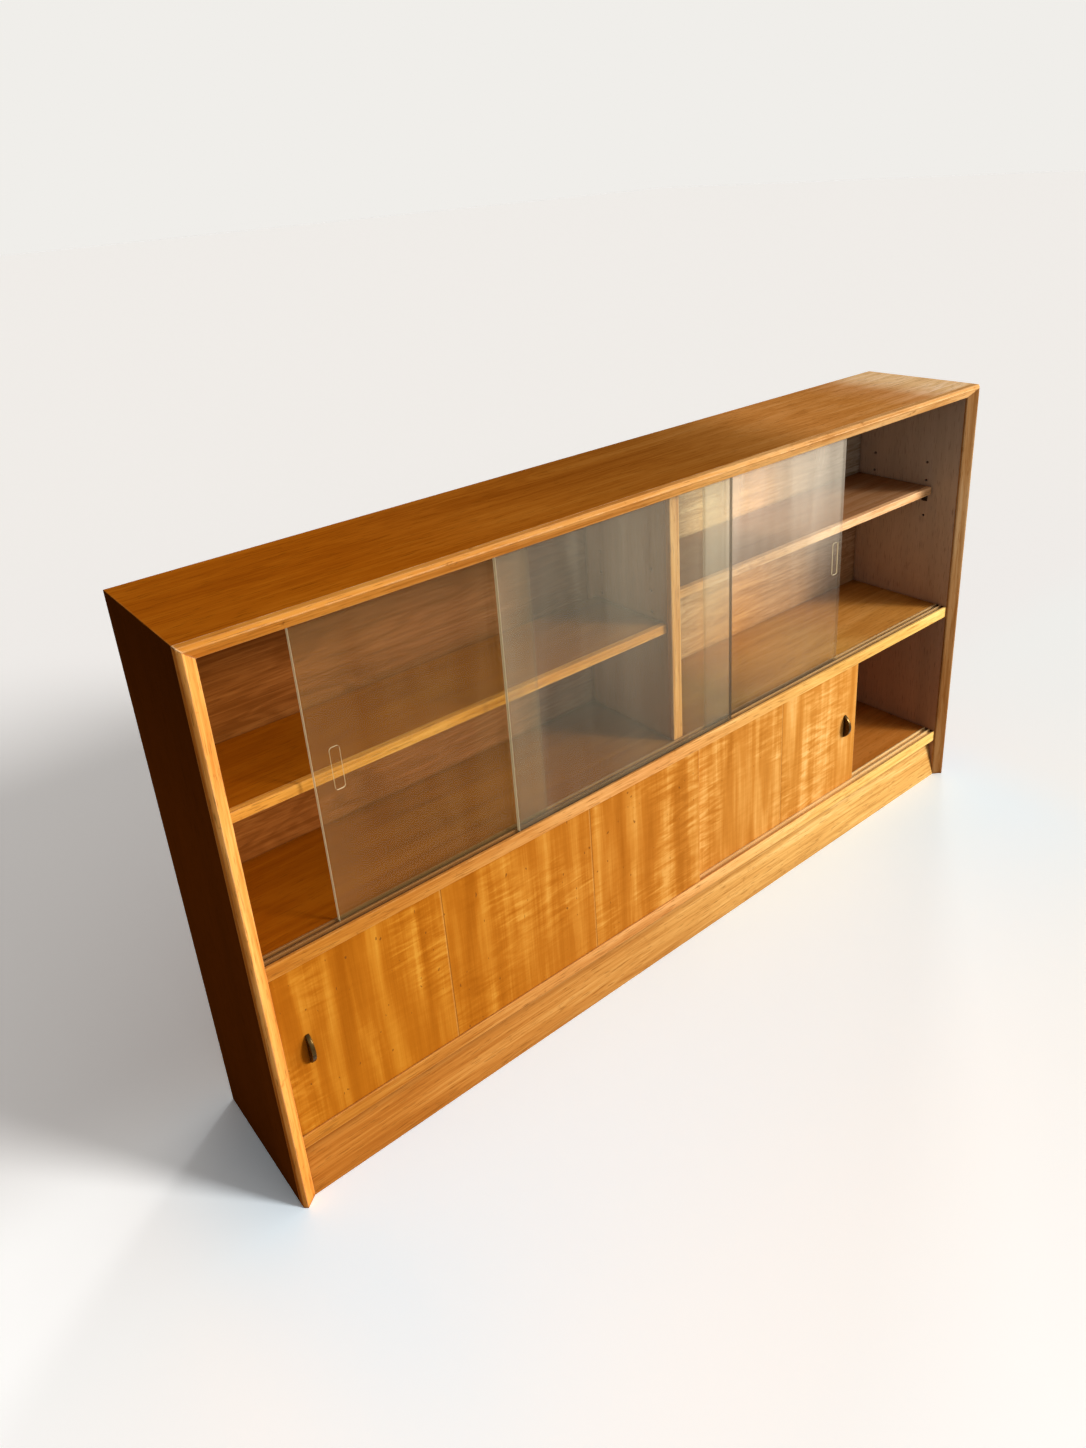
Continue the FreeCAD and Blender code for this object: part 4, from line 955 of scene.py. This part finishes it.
# %% Pulls
def half_moon(name, body, door_face):
    """A rounded plate in the place of a packed pull, on the door's own body."""
    low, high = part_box(name)
    middle_x, middle_z = (low.x + high.x) / 2, (low.z + high.z) / 2
    plate = bmesh.new()
    left = [plate.verts.new((middle_x - PULL_THICK / 2, door_face - out, middle_z + up))
            for out, up in plate_outline()]
    right = [plate.verts.new((middle_x + PULL_THICK / 2, door_face - out, middle_z + up))
             for out, up in plate_outline()]
    plate.faces.new(left)
    plate.faces.new(reversed(right))
    for here in range(len(left)):
        there = (here + 1) % len(left)
        plate.faces.new((left[here], right[here], right[there], left[there]))
    bmesh.ops.recalc_face_normals(plate, faces=plate.faces)
    mesh = bpy.data.meshes.new(f"{name}_rounded")
    plate.to_mesh(mesh)
    plate.free()
    pull = bpy.data.objects.new(f"{name}_rounded", mesh)
    bpy.context.scene.collection.objects.link(pull)
    rim = pull.modifiers.new("rim", "BEVEL")
    rim.width = PULL_ROUNDING
    rim.segments = 4
    rim.limit_method = "ANGLE"
    rim.angle_limit = math.radians(50)
    for face in mesh.polygons:
        face.use_smooth = True
    mesh.materials.append(old_brass)
    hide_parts(name)
    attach(pull, body)
    print(pull.name, "on", body)


half_moon("left_door_pull", "left_sliding_door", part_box("left_door")[0].y)
half_moon("right_door_pull", "right_sliding_door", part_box("right_door")[0].y)

# %% [markdown]
# ## Screws and panel pins
# Fasteners repeat, so Geometry Nodes make them. A small tree builds one fastener, a domed head
# on a shank, and puts it on every point of a mesh that holds only points. Its sizes are named
# inputs of the tree, and a random turn with a fixed seed keeps the slots from lining up.
# Realize Instances turns the copies into real mesh at the end.

# %% Fastener tree
def fastener_tree():
    tree = bpy.data.node_groups.new("fasteners", "GeometryNodeTree")
    face = tree.interface
    face.new_socket("Geometry", in_out="INPUT", socket_type="NodeSocketGeometry")
    for label in ("Head width", "Head height", "Shank width", "Shank length", "Slot width"):
        face.new_socket(label, in_out="INPUT", socket_type="NodeSocketFloat")
    face.new_socket("Finish", in_out="INPUT", socket_type="NodeSocketMaterial")
    face.new_socket("Geometry", in_out="OUTPUT", socket_type="NodeSocketGeometry")
    given = tree.nodes.new("NodeGroupInput").outputs
    out = tree.nodes.new("NodeGroupOutput")

    def vector(x=0.0, y=0.0, z=0.0):
        return node(tree, "ShaderNodeCombineXYZ", {"X": x, "Y": y, "Z": z}).outputs["Vector"]

    def moved(geometry, **how):
        made = node(tree, "GeometryNodeTransform", {"Geometry": geometry, **how})
        return made.outputs["Geometry"]

    shank = node(tree, "GeometryNodeMeshCylinder", {
        "Vertices": 8, "Radius": times(tree, given["Shank width"], 0.5),
        "Depth": given["Shank length"],
    })
    lowered = moved(shank.outputs["Mesh"],
                    Translation=vector(z=times(tree, given["Shank length"], -0.5)))
    head_radius = times(tree, given["Head width"], 0.5)
    ball = node(tree, "GeometryNodeMeshUVSphere", {
        "Segments": 16, "Rings": 8, "Radius": head_radius,
    })
    squash = maths(tree, "DIVIDE", given["Head height"], head_radius)
    dome = moved(ball.outputs["Mesh"], Scale=vector(1.0, 1.0, squash))
    cutter = node(tree, "GeometryNodeMeshCube", {
        "Size": vector(times(tree, given["Head width"], 1.2), given["Slot width"],
                       given["Head height"]),
    })
    raised = moved(cutter.outputs["Mesh"], Translation=vector(z=given["Head height"]))
    slotted = node(tree, "GeometryNodeMeshBoolean", {"Mesh 1": dome}, operation="DIFFERENCE")
    tree.links.new(raised, slotted.inputs["Mesh 2"])
    whole = node(tree, "GeometryNodeJoinGeometry")
    tree.links.new(lowered, whole.inputs["Geometry"])
    tree.links.new(slotted.outputs["Mesh"], whole.inputs["Geometry"])
    turned = moved(whole.outputs["Geometry"], Rotation=(math.radians(-90), 0, 0))
    spread_out = node(tree, "GeometryNodeInstanceOnPoints", {
        "Points": given["Geometry"], "Instance": turned,
    })
    turn = node(tree, "FunctionNodeRandomValue", {
        "Min": (0.0, -1.4, 0.0), "Max": (0.0, 1.4, 0.0), "Seed": 7,
    }, data_type="FLOAT_VECTOR")
    tree.links.new(turn.outputs["Value"], spread_out.inputs["Rotation"])
    real = node(tree, "GeometryNodeRealizeInstances", {"Geometry": spread_out.outputs["Instances"]})
    painted = node(tree, "GeometryNodeSetMaterial", {
        "Geometry": real.outputs["Geometry"], "Material": given["Finish"],
    })
    tree.links.new(painted.outputs["Geometry"], out.inputs["Geometry"])
    return tree


fasteners = fastener_tree()
print("fastener tree has", len(fasteners.nodes), "nodes")

# %% [markdown]
# A carrier object holds the points and the modifier. Its evaluated mesh becomes a plain object,
# one for each body, which can ride that body.

# %% One group of fasteners
def place_fasteners(name, points, body, slot, finish, replaced, **sizes):
    """One mesh of fasteners, a head on each point, for one body."""
    mesh = bpy.data.meshes.new(f"{name}_points")
    mesh.from_pydata(points, [], [])
    carrier = bpy.data.objects.new(f"{name}_points", mesh)
    bpy.context.scene.collection.objects.link(carrier)
    modifier = carrier.modifiers.new("fasteners", "NODES")
    modifier.node_group = fasteners
    for item in fasteners.interface.items_tree:
        if item.in_out == "INPUT" and item.socket_type == "NodeSocketFloat":
            modifier[item.identifier] = sizes[item.name.lower().replace(" ", "_")]
        elif item.in_out == "INPUT" and item.socket_type == "NodeSocketMaterial":
            modifier[item.identifier] = finish
    bpy.context.view_layer.update()
    graph = bpy.context.evaluated_depsgraph_get()
    made = bpy.data.meshes.new_from_object(carrier.evaluated_get(graph))
    bpy.data.objects.remove(carrier)
    piece = bpy.data.objects.new(name, made)
    bpy.context.scene.collection.objects.link(piece)
    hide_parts(*replaced)
    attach(piece, body)
    print(name, len(points), "fasteners,", len(made.polygons), "faces")


# %% [markdown]
# Pins hold the plywood back to the case: three full rows of seven into the top, the middle board
# and the bottom board, and three single ones between the rows, into the uprights.

# %% Panel pins
PIN_WIDTH = 0.0016
PIN_HEAD_WIDTH = 0.0032
PIN_LENGTH = 0.0200
PIN_INSET = PIN_HEAD_WIDTH / 2

pins_low, pins_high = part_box("back_panel_pins")
columns = [pins_low.x + PIN_INSET + step * (pins_high.x - pins_low.x - 2 * PIN_INSET) / 6
           for step in range(7)]
middle_low, middle_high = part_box("middle_board")
board_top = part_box("bottom_board")[1].z
top_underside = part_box("top_panel")[0].z
full_rows = (pins_low.z + PIN_INSET, (middle_low.z + middle_high.z) / 2,
             pins_high.z - PIN_INSET)
single_rows = ((board_top + middle_low.z) / 2, (middle_high.z + top_underside) / 2)
head_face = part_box("back_panel")[1].y
pin_points = [(x, head_face, z) for z in full_rows for x in columns]
pin_points += [(x, head_face, z) for z in single_rows for x in columns[::3]]
place_fasteners("panel_pin_heads", pin_points, "case", "pin_steel", pin_steel,
                ["back_panel_pins"], head_width=PIN_HEAD_WIDTH,
                head_height=pins_high.y - head_face, shank_width=PIN_WIDTH,
                shank_length=PIN_LENGTH, slot_width=0.0)

# %% [markdown]
# Two slotted screws hold each pull, put in from the back of the door.

# %% Pull screws
SCREW_HEAD_WIDTH = 0.006
SCREW_HEAD_HEIGHT = 0.0008

for side in ("left", "right"):
    low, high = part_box(f"{side}_door_pull_screws")
    levels = (low.z + SCREW_HEAD_WIDTH / 2, high.z - SCREW_HEAD_WIDTH / 2)
    screw_points = [((low.x + high.x) / 2, high.y - SCREW_HEAD_HEIGHT, z) for z in levels]
    place_fasteners(f"{side}_pull_screws_slotted", screw_points, f"{side}_sliding_door",
                    "pin_steel", pin_steel, [f"{side}_door_pull_screws"],
                    head_width=SCREW_HEAD_WIDTH, head_height=SCREW_HEAD_HEIGHT,
                    shank_width=0.003, shank_length=high.y - low.y - SCREW_HEAD_HEIGHT,
                    slot_width=0.0009)
